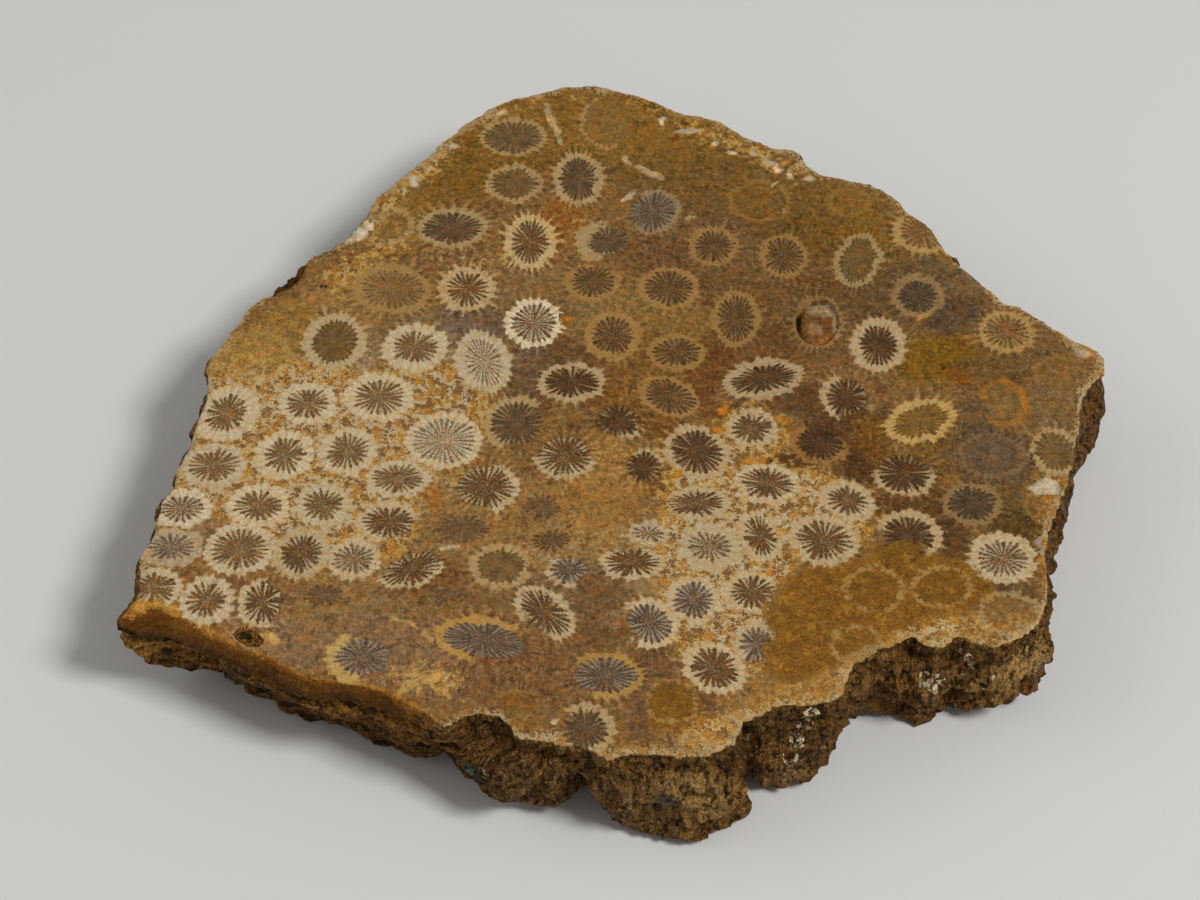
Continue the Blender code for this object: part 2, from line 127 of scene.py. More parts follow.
# Each look of a corallite: wall colour, cup colour, septa colour, then how strongly the
# wall, the cup and the septa show, how far light stone fills the cup, and how far the
# costae spread outside the wall.
LOOKS = {
    "bright": ((0.49, 0.375, 0.21), (0.131, 0.065, 0.024), (0.6, 0.445, 0.235), 1, 0.95, 0.95, 0.12, 0.6),
    "pale": (CREAM, (0.185, 0.104, 0.042), (0.62, 0.465, 0.245), 1, 0.95, 0.95, 0.2, 0.6),
    "dusky": ((0.44, 0.32, 0.172), (0.086, 0.042, 0.017), (0.45, 0.305, 0.14), 1, 0.95, 0.8, 0.05, 0.6),
    "dim": ((0.28, 0.175, 0.073), (0.087, 0.056, 0.03), (0.22, 0.15, 0.075), 0.9, 0.95, 0.75, 0.1, 0.7),
    "misty": ((0.31, 0.21, 0.115), (0.11, 0.076, 0.044), (0.3, 0.24, 0.17), 0.75, 0.85, 0.9, 0.35, 0.4),
    "white": (CHALK, DEEP, CREAM, 1, 0.95, 1, 0.75, 0.6),
    "frosted": (CREAM, (0.24, 0.145, 0.055), CHALK, 1, 0.9, 1, 0.85, 0.6),
    "filled": ((0.49, 0.38, 0.22), (0.17, 0.09, 0.035), CREAM, 1, 0.9, 0.9, 0.6, 0.6),
    "buff": ((0.41, 0.287, 0.13), (0.12, 0.068, 0.034), (0.34, 0.23, 0.1), 0.95, 0.95, 0.75, 0.1, 0.8),
    "slate": ((0.5, 0.385, 0.22), (0.108, 0.068, 0.042), (0.48, 0.38, 0.26), 1, 0.9, 0.8, 0.35, 0.7),
    "slate gold": ((0.41, 0.235, 0.06), (0.118, 0.076, 0.046), (0.4, 0.31, 0.21), 0.95, 0.9, 0.65, 0.4, 0.8),
    "crescent": ((0.52, 0.35, 0.115), (0.13, 0.084, 0.052), (0.42, 0.33, 0.23), 1, 0.9, 0.75, 0.4, 0.25),
    "orange": ((0.28, 0.135, 0.038), (0.073, 0.036, 0.015), (0.24, 0.13, 0.045), 0.9, 0.95, 0.75, 0.06, 0.6),
    "yellow": ((0.46, 0.305, 0.105), (0.2, 0.105, 0.026), (0.4, 0.235, 0.055), 1, 0.9, 0.65, 0.2, 0.7),
    "honey": ((0.39, 0.24, 0.083), (0.18, 0.09, 0.026), (0.44, 0.27, 0.1), 0.95, 0.9, 0.9, 0.4, 0.7),
    "golden": ((0.32, 0.195, 0.065), (0.21, 0.11, 0.034), (0.42, 0.26, 0.1), 0.9, 0.8, 0.7, 0.5, 0.9),
    "hazel": ((0.39, 0.27, 0.118), (0.165, 0.1, 0.034), (0.32, 0.2, 0.07), 0.9, 0.85, 0.65, 0.15, 0.4),
    "tan": ((0.32, 0.178, 0.054), (0.106, 0.055, 0.021), (0.33, 0.19, 0.068), 0.95, 0.9, 0.8, 0.4, 0.4),
    "grey": ((0.41, 0.275, 0.11), (0.142, 0.088, 0.038), (0.34, 0.22, 0.095), 0.9, 0.85, 0.75, 0.15, 0.5),
    "olive": ((0.48, 0.365, 0.2), (0.155, 0.09, 0.03), (0.32, 0.2, 0.07), 1, 0.9, 0.65, 0.05, 0.8),
    "pearl": ((0.45, 0.35, 0.22), (0.15, 0.105, 0.064), (0.5, 0.41, 0.29), 0.85, 0.85, 0.9, 0.45, 0.5),
    "rayed": ((0.5, 0.355, 0.17), DEEP, (0.55, 0.41, 0.2), 1, 0.95, 0.9, 0.2, 1.3),
    "bare": (BROWN, (0.14, 0.078, 0.035), (0.34, 0.21, 0.09), 0, 0.85, 0.85, 0.15, 0),
    "sunk": ((0.3, 0.18, 0.065), RUST, TAN, 0.65, 0, 0, 0, 0.7),
    "gold ghost": ((0.5, 0.35, 0.12), (0.4, 0.24, 0.055), TAN, 0.22, 0.45, 0, 0.2, 0.5),
    "ghost": (TAN, GOLD, TAN, 0.42, 0.25, 0.2, 0.2, 0.2),
    "ochre ghost": ((0.34, 0.19, 0.05), OCHRE, GOLD, 0.42, 0.45, 0.25, 0.1, 0.1),
    "rust ghost": ((0.36, 0.15, 0.022), (0.23, 0.14, 0.045), GOLD, 0.6, 0.5, 0.2, 0.2, 0.2),
    "cream ghost": (BUFF, (0.25, 0.15, 0.052), TAN, 0.52, 0.4, 0.45, 0.3, 0.4),
    "mauve ghost": ((0.3, 0.18, 0.077), GREY, MAUVE, 0.45, 0.55, 0.35, 0.3, 0.2),
}

# The corallites, in mm and degrees on the chart: middle x and y, half length and half
# width of the cup, turn of its length from +x, width of its wall, its look, and for an
# open wall the direction it faces and the half angle that it spans.
CORALLITES = [
    # the pale cluster on the left
    (-57.5, -3.9, 3.3, 2.6, 70, 2, "pale"),
    (-46, -2, 2.7, 2.6, 0, 1.4, "pale"),
    (-58.6, -13.7, 3.1, 2.7, 0, 1.5, "pale"),
    (-48.7, -11.6, 3, 2.6, 90, 1.6, "pale"),
    (-39.8, -11, 2.9, 2.6, 70, 1.5, "pale"),
    (-62.4, -21.4, 2.8, 2.2, 0, 1.3, "white"),
    (-51.7, -20.9, 3, 2.5, 0, 1.5, "pale"),
    (-42.7, -20.7, 2.5, 2.5, 0, 1.4, "pale"),
    (-63.2, -28.3, 2.9, 2, 0, 1.5, "pearl"),
    (-53.8, -28.6, 3.6, 3.2, 0, 1.4, "pale"),
    (-45.3, -29.3, 3.1, 2.6, 80, 1.4, "bright"),
    (-38, -30.3, 2.6, 2.3, 0, 1.2, "filled"),
    (-65.2, -35.2, 3.1, 2.2, 0, 1.2, "pale", (55, 110)),
    (-57.7, -37.4, 2.7, 2.4, 90, 1.4, "pale"),
    (-50, -37.8, 3.1, 2.4, 95, 1.1, "bright", (190, 100)),
    (-41.8, -36.6, 2.5, 1.6, 0, 0.6, "bare"),
    (-35.8, -0.8, 3.3, 3, 0, 1.7, "pale"),
    (-31, 8.7, 3, 2.9, 0, 1.8, "pale"),
    (-42.8, 9.9, 4, 3.1, 90, 1.6, "olive"),
    (-54.5, 7, 4.6, 4.2, 0, 1.2, "gold ghost"),
    (-32.5, -16, 3.3, 2.3, 0, 1.2, "pale"),
    (-33.5, -23.8, 3.2, 2.5, 0, 1.2, "bright", (135, 125)),
    (-26.3, -9, 4.2, 3.9, 0, 1.3, "frosted"),
    # the middle left
    (-21, 6, 4.4, 2.3, 105, 1.8, "frosted"),
    (-13.8, 13.6, 3.5, 3, 90, 1.3, "white"),
    (-8.2, 2, 3.7, 2.6, 0, 1.2, "dusky"),
    (-23.8, 20.3, 3.1, 2.8, 90, 1.4, "rayed"),
    (-14.6, 30, 4.2, 2.5, 90, 1.5, "rayed"),
    (-26.3, 32.8, 4.2, 3, 0, 1.2, "buff"),
    (-17.2, 42.2, 3.2, 3, 0, 1.1, "hazel"),
    (-7.4, 43.2, 4.5, 2.6, 90, 1.3, "buff"),
    (-17.5, 52.3, 4.3, 3.3, 0, 0.9, "grey"),
    (-34.8, 20.3, 4.6, 3.5, -15, 1.4, "golden"),
    (-36.3, 33.5, 3.3, 3, 0, 1, "cream ghost", (-10, 100)),
    # the tan diagonal
    (-16, -5.8, 3.9, 3.5, 80, 1.3, "buff", (150, 100)),
    (-20.2, -17.5, 3.8, 3.6, 0, 0.9, "bright", (-5, 70)),
    (-9.1, -11.8, 3.5, 3.3, 0, 0.9, "bright", (265, 85)),
    (-12.2, -21.2, 2.3, 2.1, 0, 0.5, "bare"),
    (-23.2, -25, 3.5, 2.2, 0, 0.5, "bare"),
    (-10.8, -27, 2.5, 1.6, 15, 0.5, "tan"),
    (-17.8, -31.6, 3.1, 2.8, 0, 1.2, "hazel"),
    (-8.3, -32.2, 2.3, 2, 0, 0.8, "slate", (215, 80)),
    (-30, -32, 3.8, 2.3, 30, 0.8, "bright", (-70, 85)),
    (-25.3, -36.8, 1.5, 1.3, 0, 0.4, "bare"),
    # the front left
    (-36, -47, 3.3, 2.8, 0, 1.7, "crescent", (195, 75)),
    (-19.8, -44.2, 5.4, 2.6, -12, 1.5, "slate gold", (130, 110)),
    (-11.6, -39.5, 4.1, 2.2, -52, 1.2, "bright", (55, 135)),
    (-3.4, -50.1, 4, 2.7, 0, 1.1, "slate gold", (20, 130)),
    (-6, -58.7, 3, 2.6, 90, 1.2, "buff", (10, 120)),
    (5.5, -54.2, 3, 3, 0, 0.8, "ochre ghost"),
    (-15, -54.6, 2.6, 1.6, 0, 0.8, "ochre ghost", (90, 90)),
    (0.3, -30.9, 3.4, 2, 0, 1, "bright", (285, 140)),
    (2.6, -25.8, 1.9, 1.3, 0, 1, "filled"),
    (2.6, -41.3, 3.1, 2.6, 125, 1.4, "slate", (10, 125)),
    # the bright cluster, right of the middle
    (11, -28.1, 2.7, 2.4, 0, 1.8, "filled"),
    (8.6, -37.3, 2.7, 2.5, 90, 1.4, "slate"),
    (16.5, -36, 2.8, 2.5, 0, 1.2, "bright"),
    (16.9, -44.8, 2.6, 1.8, 80, 1.3, "slate", (120, 115)),
    (11.1, -48.8, 3.3, 2.8, -50, 1.2, "bright"),
    (18.1, -26.3, 3.4, 1.9, 100, 1.3, "bright"),
    (26.8, -27, 3.5, 3.1, -30, 1.4, "bright"),
    (19.4, -16.8, 3.4, 2.5, -15, 1.2, "bright"),
    (9.2, -20.4, 3.7, 1.9, 5, 1.1, "bright", (0, 145)),
    (9.5, -11, 3.9, 3.2, 120, 1.3, "dusky"),
    (2, -13.8, 2.6, 2.3, 90, 0.65, "dusky", (65, 45)),
    (17.5, -6.6, 2.6, 2.5, 0, 1, "bright"),
    (27.1, -9.4, 3.1, 3, 0, 1.1, "orange", (240, 110)),
    (30.5, -20, 2.7, 2.1, -40, 1.3, "bright"),
    (38.6, -15, 3.5, 3.2, 0, 0.9, "dusky", (270, 95)),
    (38.5, -26.3, 3.4, 3.3, 0, 1.3, "dusky", (50, 110)),
    # the middle and the back
    (19.4, 2.7, 4.5, 2.3, 14, 1.5, "dusky"),
    (5.8, -0.7, 3.7, 2.6, -40, 1, "tan"),
    (-1.5, -5.3, 2.9, 2.6, -35, 0.7, "dusky", (-50, 32)),
    (7, 7.8, 3.1, 2.5, 0, 1.2, "tan"),
    (-2.3, 11, 3.3, 2.8, 90, 1.5, "tan"),
    (15.8, 14.4, 4.4, 2.4, 85, 1.3, "tan"),
    (-5.2, 21.9, 2.9, 2.8, 0, 1.3, "tan", (270, 125)),
    (6.1, 20.5, 3.4, 3.1, 0, 1.2, "tan"),
    (-2.8, 30, 3, 2.7, 0, 1.9, "buff", (178, 75)),
    (3.8, 36.2, 3.7, 3.1, 60, 1.1, "misty", (0, 125)),
    (12.8, 29.1, 3, 2.7, 90, 1.1, "tan"),
    (23.3, 27, 3.6, 2.6, 90, 1, "tan"),
    (20, 38.5, 4, 3.6, 0, 0.9, "ghost"),
    (-2.8, 55.5, 5, 3.8, 90, 0.8, "cream ghost", (200, 80)),
    # the right
    (36.4, 9.2, 3.7, 2.5, 85, 1.6, "dusky"),
    (31.3, -0.8, 3.3, 2.6, 90, 1.2, "dusky", (180, 75)),
    (34.3, 26.2, 4.6, 2.4, 75, 1.1, "hazel"),
    (44.3, 32, 3.3, 3.2, 0, 1.3, "honey", (225, 90)),
    (33.6, 38.3, 2.6, 2.3, 0, 0.8, "ghost"),
    (42.7, 18.9, 3.1, 2.7, 90, 1.3, "dim"),
    (55.3, 11.7, 3.1, 3, 0, 1.1, "honey"),
    (62.5, 3.5, 3.4, 3, 0, 0.8, "ghost", (130, 90)),
    (41.6, -5.3, 4.1, 2.6, 25, 1.3, "yellow"),
    (53.5, -2, 3.5, 2.7, 90, 1.1, "rust ghost", (10, 135)),
    (51.4, -11.8, 4, 3.4, 0, 0.8, "mauve ghost"),
    (60.3, -11, 3.5, 2.6, 90, 0.9, "hazel"),
    (47.8, -20.5, 3.1, 2.8, 0, 1.1, "dim"),
    (57.8, -21.2, 2.6, 2, 90, 0.7, "ghost"),
    (51.3, -30.2, 3.1, 2.8, 0, 1.7, "filled"),
    (51.5, -39.8, 3.4, 3, 0, 1, "cream ghost"),
    (42.5, -35.2, 3.3, 3, 0, 0.8, "ochre ghost"),
    (33.3, -35.5, 3.4, 3.3, 0, 0.8, "ochre ghost"),
    (30.5, -45, 3, 2.6, 0, 0.8, "ochre ghost"),
    (*SUNK, 0.55, "sunk"),
]

# Small marks with no septa: x, y, half length, half width, turn, colour, strength.
MARKS = [
    (-48.5, -43.8, 1.7, 1, -50, YELLOW, 1),
    (-51.8, -43, 2.1, 1, 0, DEEP, 0.9),
    (-24.8, -28.4, 1.8, 0.5, 10, CREAM, 0.9),
    (-4.9, -19.3, 1.4, 1.3, 0, ORANGE, 0.3),
    (-15, -23.8, 1, 0.9, 0, DEEP, 0.5),
    (-13.7, -32, 0.8, 0.8, 0, DEEP, 0.5),
    (-34, -28.5, 0.9, 0.8, 0, DEEP, 0.5),
    (6.9, -15.1, 0.9, 0.6, 0, ORANGE, 1),
    (13.6, -3.3, 1, 1.1, 0, ORANGE, 1),
    (12.6, -7, 1.3, 1, 30, (0.4, 0.17, 0.025), 0.9),
    (22.2, -5.4, 0.9, 0.8, 0, ORANGE, 0.8),
    (17, -12.4, 0.9, 0.9, 0, ORANGE, 0.8),
    (18.8, -12.7, 0.8, 0.8, 0, ORANGE, 0.7),
    (19.5, -22.4, 0.8, 0.6, 60, YELLOW, 0.9),
    (20.7, -25.6, 1.1, 0.5, 100, YELLOW, 0.9),
    (22.9, -29, 0.7, 0.6, 0, ORANGE, 0.9),
    (19.2, -31.1, 0.9, 0.5, 0, YELLOW, 0.9),
    (19.2, -32.6, 0.7, 0.9, 0, ORANGE, 0.7),
    (-9, 14.5, 1.2, 1, 0, ORANGE, 0.7),
    (0, 47.2, 1.5, 0.6, -65, BUFF, 0.8),
    (3.4, 44.6, 3, 0.7, -30, BUFF, 0.85),
    (-11.2, 55, 5.2, 0.6, -72, BUFF, 0.85),
    (0.2, 39.4, 1.4, 0.7, 40, CREAM, 0.8),
    (17.9, 37.1, 1.1, 0.6, -20, YELLOW, 0.7),
    (23.3, 36.4, 0.9, 0.8, 30, YELLOW, 0.5),
    (9.5, 34.8, 1, 0.6, 20, BUFF, 0.8),
    (56.5, -1.4, 3, 0.7, 95, (0.36, 0.16, 0.025), 0.9),
    (54.3, 2, 1.6, 0.6, -10, ORANGE, 0.7),
    (51.1, -0.9, 0.9, 0.9, 0, ORANGE, 0.8),
    (51.1, -1.1, 0.3, 0.3, 0, BLACK, 1),
    (57.2, 10.7, 0.5, 0.4, 0, BLACK, 0.9),
    (36.3, 0.4, 0.9, 0.8, 0, DEEP, 0.8),
    (34.6, -2.8, 0.9, 0.8, 0, BUFF, 0.6),
    (38.4, -30.6, 1, 0.5, 30, ORANGE, 0.6),
    (36.4, -28.6, 1.2, 0.9, 0, OCHRE, 0.6),
    (58.2, -17.4, 2.2, 1.6, 20, CHALK, 0.85),
    (66, 7.5, 1.6, 1, 0, CREAM, 0.6),
    (56.6, -30.6, 0.9, 1.1, 90, ORANGE, 0.7),
    (56.4, -27.5, 0.6, 0.8, 0, PEARL, 0.8),
    (55.3, -29, 0.4, 0.5, 0, GREY, 0.8),
    (51.2, 21.3, 3.4, 1.3, 120, GREY, 0.7),
    (52.2, 19.4, 0.6, 0.7, 0, BLACK, 0.9),
    (43.8, 15.2, 1.9, 0.6, 35, YELLOW, 0.6),
    (42.6, 23, 1.7, 0.6, 10, BUFF, 0.4),
    (5.5, 56, 0.5, 1.3, 0, CHALK, 1),
    (9.3, 53.6, 2.2, 0.6, 5, CREAM, 0.9),
    (13.6, 50.7, 0.6, 0.5, 0, CHALK, 1),
    (16.3, 48.9, 1, 0.6, -30, CHALK, 0.95),
    (19.2, 48.6, 0.5, 0.9, 0, CREAM, 0.8),
    (21.7, 46.9, 1.3, 0.8, -40, CREAM, 0.9),
    (23.1, 45.4, 0.7, 0.9, 20, CHALK, 1),
    (24.9, 44, 0.9, 0.7, -40, CHALK, 1),
    (22.4, 42, 1.3, 0.4, 60, BUFF, 0.8),
    (27.8, 43.3, 0.9, 0.8, 0, CREAM, 0.8),
    (9, 55.5, 0.8, 0.8, 0, UMBER, 0.8),
    (4, 59, 0.7, 0.8, 0, UMBER, 0.7),
    (7.4, 52, 1, 0.7, 30, (0.2, 0.05, 0.012), 0.9),
    (-38.3, 33.2, 1.8, 2, 20, CHALK, 1),
    (-40.1, 31.6, 1.3, 1.6, 0, CHALK, 1),
    (-32.6, 42.9, 0.8, 1.7, 20, CHALK, 0.95),
    (-34, 40.7, 0.4, 0.6, 0, CHALK, 0.9),
    (-26.6, 50.2, 1.2, 0.8, 0, CREAM, 0.9),
    (-19.3, 57.5, 1.3, 0.7, 20, CREAM, 0.8),
    (-41.3, 30.6, 1.3, 0.7, 50, CREAM, 0.9),
    (-45.2, 21.6, 0.4, 0.4, 0, (0.4, 0.04, 0.015), 0.9),
    (-45, 20.8, 0.5, 0.4, 0, BLACK, 0.9),
    (-41.8, 25.9, 0.5, 0.5, 0, BLACK, 0.9),
    (-57.4, 10.6, 0.5, 0.4, 0, BLACK, 0.8),
    (-59, 6.7, 0.4, 0.4, 0, BLACK, 0.8),
    (-54.5, 9, 0.5, 0.4, 0, CHALK, 0.8),
    (-61, 3.2, 0.5, 0.4, 0, CHALK, 0.8),
    (-10, -57.4, 0.6, 0.4, 0, CHALK, 0.9),
    (-26.4, -50.4, 2, 0.8, 25, YELLOW, 0.9),
    (-29.6, -51.8, 1.8, 0.8, 50, YELLOW, 0.85),
    (-30.4, -41.2, 2.6, 0.4, -22, YELLOW, 0.8),
    (-27.2, -43.6, 1.5, 0.6, -62, YELLOW, 0.7),
    (-12.8, -53.6, 0.9, 0.4, 0, UMBER, 0.7),
    (-6.4, -57.2, 1.3, 0.1, -75, PEARL, 0.7),
    (17.7, -47.2, 0.8, 0.2, -10, PEARL, 0.8),
]

# Soft patches of ground colour, two of them a painted highlight and a painted shadow in the sunk cup: x, y,
# half length, half width, turn, colour, strength.
GROUNDS = [
    (2, 13, 22, 13, 0, (0.209, 0.106, 0.0228), 0.8),
    (20, -2, 9, 2.6, 10, (0.13, 0.05, 0.012), 0.9),
    (12.5, 6.5, 3.5, 3, 40, (0.15, 0.065, 0.016), 0.8),
    (-3.5, 6.5, 4, 2.6, 0, (0.15, 0.07, 0.02), 0.8),
    (-9.5, 8, 5, 3, 0, (0.14, 0.068, 0.02), 0.9),
    (-14, -2, 4, 2, 0, (0.15, 0.07, 0.02), 0.8),
    (-3, -0.5, 3, 3, 0, (0.14, 0.06, 0.014), 0.8),
    (-6, -7, 3, 3, 0, (0.16, 0.075, 0.02), 0.7),
    (-27, -33, 9, 3, 20, (0.17, 0.078, 0.02), 0.7),
    (-8, 17, 4, 3, 0, (0.16, 0.078, 0.022), 0.8),
    (10, 11.5, 4, 3, 0, (0.17, 0.083, 0.022), 0.7),
    (21, 9, 4, 4, 0, (0.17, 0.078, 0.018), 0.7),
    (28, 21, 6, 3, 0, (0.19, 0.093, 0.022), 0.7),
    (-50, -15, 26, 24, 0, (0.368, 0.2215, 0.0787), 1),
    (-58, -33, 10, 5, -20, (0.267, 0.134, 0.04), 0.9),
    (-47, -36, 12, 4, -10, (0.257, 0.129, 0.038), 0.9),
    (-50, -43, 12, 5, -25, (0.257, 0.148, 0.0609), 1),
    (-38, -41, 9, 6, -20, (0.285, 0.1663, 0.0519), 0.9),
    (-30, -47, 14, 7, -15, (0.247, 0.1393, 0.0555), 1),
    (-14, -49, 12, 7, 0, (0.205, 0.1001, 0.0321), 1),
    (-27, -19.5, 6.5, 2.2, -50, (0.331, 0.122, 0.017), 0.9),
    (-22, -14, 3.5, 2, -50, (0.368, 0.146, 0.023), 0.7),
    (-22.5, 13.5, 6, 4.5, 0, (0.156, 0.0891, 0.0363), 0.95),
    (-14.5, 3.5, 3, 7, 0, (0.156, 0.0891, 0.0363), 0.9),
    (-17, -24, 12, 9, -30, (0.297, 0.163, 0.0482), 0.95),
    (-4, -16, 7, 9, 0, (0.348, 0.186, 0.047), 1),
    (-4, -24, 6, 6, 0, (0.316, 0.163, 0.0378), 0.9),
    (-10, -36, 8, 4, 0, (0.201, 0.0986, 0.0317), 0.9),
    (-3, -38, 5, 7, 0, (0.167, 0.0801, 0.0238), 0.9),
    (4, -47.5, 4, 4, 0, (0.162, 0.079, 0.027), 0.9),
    (1, -55, 1.6, 7, 0, (0.18, 0.091, 0.036), 0.9),
    (9.5, -54, 3.5, 2.5, 0, (0.162, 0.075, 0.027), 0.9),
    (4.8, -17.5, 3, 2.5, 20, (0.184, 0.073, 0.014), 0.9),
    (4, -6, 4, 3.5, 0, (0.1939, 0.0813, 0.0153), 0.8),
    (0, 16.5, 12, 4.5, 0, (0.242, 0.135, 0.0342), 0.8),
    (8, 14.5, 5, 6, 0, (0.257, 0.144, 0.0365), 0.8),
    (2, 2, 8, 6, 0, (0.226, 0.11, 0.0243), 0.8),
    (11, 3, 3.5, 6, 0, (0.17, 0.071, 0.016), 0.9),
    (24, 9, 8, 5, 20, (0.192, 0.0997, 0.0264), 0.8),
    (25, -1, 4, 3, 0, (0.12, 0.061, 0.021), 0.9),
    (31, -5.5, 7, 4, 0, (0.111, 0.053, 0.017), 0.95),
    (23.5, -13.5, 4, 3.5, 0, (0.106, 0.05, 0.016), 0.95),
    (33, -13, 3.5, 4.5, 0, (0.119, 0.055, 0.015), 0.9),
    (35, -9, 3, 6, 20, (0.187, 0.087, 0.015), 0.9),
    (37, -21, 6, 2.4, 0, (0.128, 0.06, 0.019), 0.95),
    (44, -24, 3, 9, 10, (0.115, 0.058, 0.019), 0.95),
    (44, -12, 6, 5, 30, (0.151, 0.078, 0.017), 0.9),
    (45, 6.5, 6.8, 5.6, 10, (0.209, 0.104, 0.0104), 1),
    (48.5, 3.5, 2.5, 2.5, 60, (0.216, 0.068, 0.007), 0.8),
    (55, 4.5, 8, 4, 0, (0.164, 0.0921, 0.0242), 0.9),
    (49, -5, 3, 7, 0, (0.158, 0.091, 0.032), 0.8),
    (52, -12, 8, 6, 0, (0.1143, 0.072, 0.0326), 0.9),
    (53, -23, 4, 5, 0, (0.127, 0.0774, 0.0246), 0.9),
    (50, -35.5, 6, 1.4, 0, (0.108, 0.065, 0.028), 0.8),
    (47, 15.5, 6, 4.5, 20, (0.108, 0.068, 0.032), 0.9),
    (38, 18, 7, 6, 0, (0.169, 0.0969, 0.0281), 0.8),
    (44, 24, 5, 3.5, -30, (0.158, 0.101, 0.039), 0.8),
    (30, 33, 16, 8, -30, (0.207, 0.11, 0.0178), 0.9),
    (12, 44, 22, 9, -20, (0.1904, 0.1056, 0.0233), 0.95),
    (-2, 55, 22, 8, 0, (0.252, 0.131, 0.024), 1),
    (-25, 47, 14, 8, 20, (0.235, 0.127, 0.024), 1),
    (-33, 37, 6, 8, 0, (0.252, 0.139, 0.032), 0.9),
    (-10, 34, 4, 6, 0, (0.277, 0.112, 0.021), 0.9),
    (-25, 26, 8, 3, 0, (0.2144, 0.1155, 0.0403), 0.9),
    (4, 27, 8, 4, 0, (0.2033, 0.0997, 0.028), 0.9),
    (-42, 18, 8, 7, 30, (0.313, 0.178, 0.052), 0.9),
    (-55, 4, 8, 6, 0, (0.386, 0.2202, 0.0448), 0.8),
    (-50, 13, 6, 5, 40, (0.331, 0.186, 0.0399), 0.8),
    (12, -33, 13, 20, 0, (0.386, 0.219, 0.069), 0.7),
    (36, -43, 14, 3.5, 5, (0.383, 0.208, 0.0462), 0.9),
    (22, -53, 9, 3, 25, (0.386, 0.211, 0.046), 0.9),
    (11, -59.5, 5, 3, 20, (0.475, 0.331, 0.145), 0.9),
    (-62, -40, 8, 2, -25, (0.427, 0.207, 0.036), 0.9),
    (62, -3, 5, 9, 0, (0.216, 0.13, 0.046), 0.8),
    (27.7, 13.5, 4.4, 3, 84, (0.21, 0.095, 0.02), 1),
    (28.4, 16.4, 2.2, 1.3, -15, (0.4, 0.29, 0.13), 1),
    (27.3, 12.4, 1.1, 1.3, 0, (0.38, 0.24, 0.1), 0.8),
    (28.6, 10.4, 1.8, 1.2, 0, (0.32, 0.12, 0.018), 0.8),
    # painted highlight: a pale strip for the light on the sunk cup's right inner wall
    (30.4, 13.4, 0.5, 2.6, 0, (0.42, 0.31, 0.16), 0.9),
    # painted shadow: a near black strip for the shade deep in the left side of the sunk cup's trench
    (24.9, 14.4, 0.5, 2.6, 0, (0.04, 0.025, 0.01), 0.95),
    (60, 9, 6, 5, 0, (0.187, 0.107, 0.032), 0.8),
]

# Broad casts over the ground: x, y, half length, half width, turn, and what each of
# red, green and blue is multiplied by.
CASTS = [
    (0, 0, 90, 90, 0, (0.98, 1.01, 1.12)),
    (22, 24, 23, 13, -30, (0.8, 0.8, 0.93)),
    (18, 9, 7, 5, 0, (0.86, 0.82, 0.88)),
    (43, 22, 6, 5, 0, (0.84, 0.88, 1.1)),
    (-30, 8, 10, 8, 0, (1.18, 1.38, 1.8)),
    (-13, 15, 14, 12, 0, (1.1, 1.18, 1.4)),
    (-30, -12, 9, 10, 0, (1.06, 1.2, 1.4)),
    (-43, -26, 8, 7, 0, (1.12, 1.25, 1.35)),
    (-55, -26, 6, 5, 0, (0.78, 0.76, 0.85)),
    (-64, -37, 6, 5, 0, (1.2, 1.3, 1.2)),
    (-6, -32, 11, 9, 0, (1.1, 1.24, 1.5)),
    (18, -2, 6, 5, 0, (1.12, 1.25, 1.6)),
    (6, -14, 4, 6, 0, (0.86, 0.84, 0.9)),
    (30, -14, 5, 5, 0, (0.76, 0.75, 0.75)),
    (42, -14, 5, 5, 0, (1.2, 1.2, 1.05)),
    (54, -26, 5, 5, 0, (0.8, 0.76, 0.6)),
    (6, -50, 6, 6, 0, (0.84, 0.84, 0.9)),
    (-22, 46, 16, 8, 0, (0.9, 0.86, 0.8)),
]

# Where the ground is pale and granular: x, y, half length, half width, turn, strength.
GRANULAR = [
    (-48, -10, 20, 16, -10, 1),
    (-41, -20, 11, 13, 20, 1),
    (-30, -3, 10, 10, 0, 0.9),
    (-26, -14, 6, 4, -45, 0.5),
    (13, -30, 9.5, 22, 0, 1),
    (23, -22, 10, 8, 0, 1),
    (17, -8, 6, 6, 0, 0.8),
    (8, -14, 6, 7, 0, 0.5),
    (30, -22, 5, 6, 0, 0.8),
    (10, -59, 5.5, 3.5, 20, 0.7),
    (23, -52.5, 9, 2.6, 25, 0.55),
    (42, -42, 12, 2.6, 0, 0.75),
    (53, -42, 5, 3, 20, 0.7),
    (31, -47.5, 5, 2, 35, 0.7),
    (-36, 28.5, 6, 2.5, 30, 0.6),
    (-41, 24, 6, 4, 45, 0.6),
    (-28, 27, 8, 4, 0, 0.35),
    (59, -20, 2, 9, 10, 0.6),
    (17, 50.5, 14, 2.2, -32, 0.75),
    (-31, 45.5, 9, 1.8, 52, 0.9),
    (-20, 57.5, 6, 1.8, 25, 0.7),
    (-38.5, 34, 4, 2.4, 70, 0.9),
    (-11, 61.5, 5, 1.2, 5, 0.5),
    (-22, 26, 7, 3, 10, 0.45),
    (-6.5, 30, 1.6, 6, 5, 0.7),
    (-55, 5, 7, 6, 0, 0.45),
    (-60, -39.5, 8, 1.6, -25, 0.6),
    (-26.5, -50.8, 5.5, 2, -20, 0.8),
]

# Smooth ochre stone that has flowed over the cups: as above.
GLAZE = [
    (26, -39.5, 7.5, 7, 0, 1.2),
    (33.5, -36.5, 8, 6, 0, 1.2),
    (41, -35, 7.5, 4.8, -5, 1.1),
    (23, -46, 6, 5, 30, 0.9),
    (30, -43.5, 6, 3, 8, 0.7),
    (46.5, -36.5, 4, 2.2, 0, 0.8),
    (37, -29.8, 4, 2.6, 0, 0.9),
    (5.5, -55, 3.6, 4.6, 0, 0.9),
]
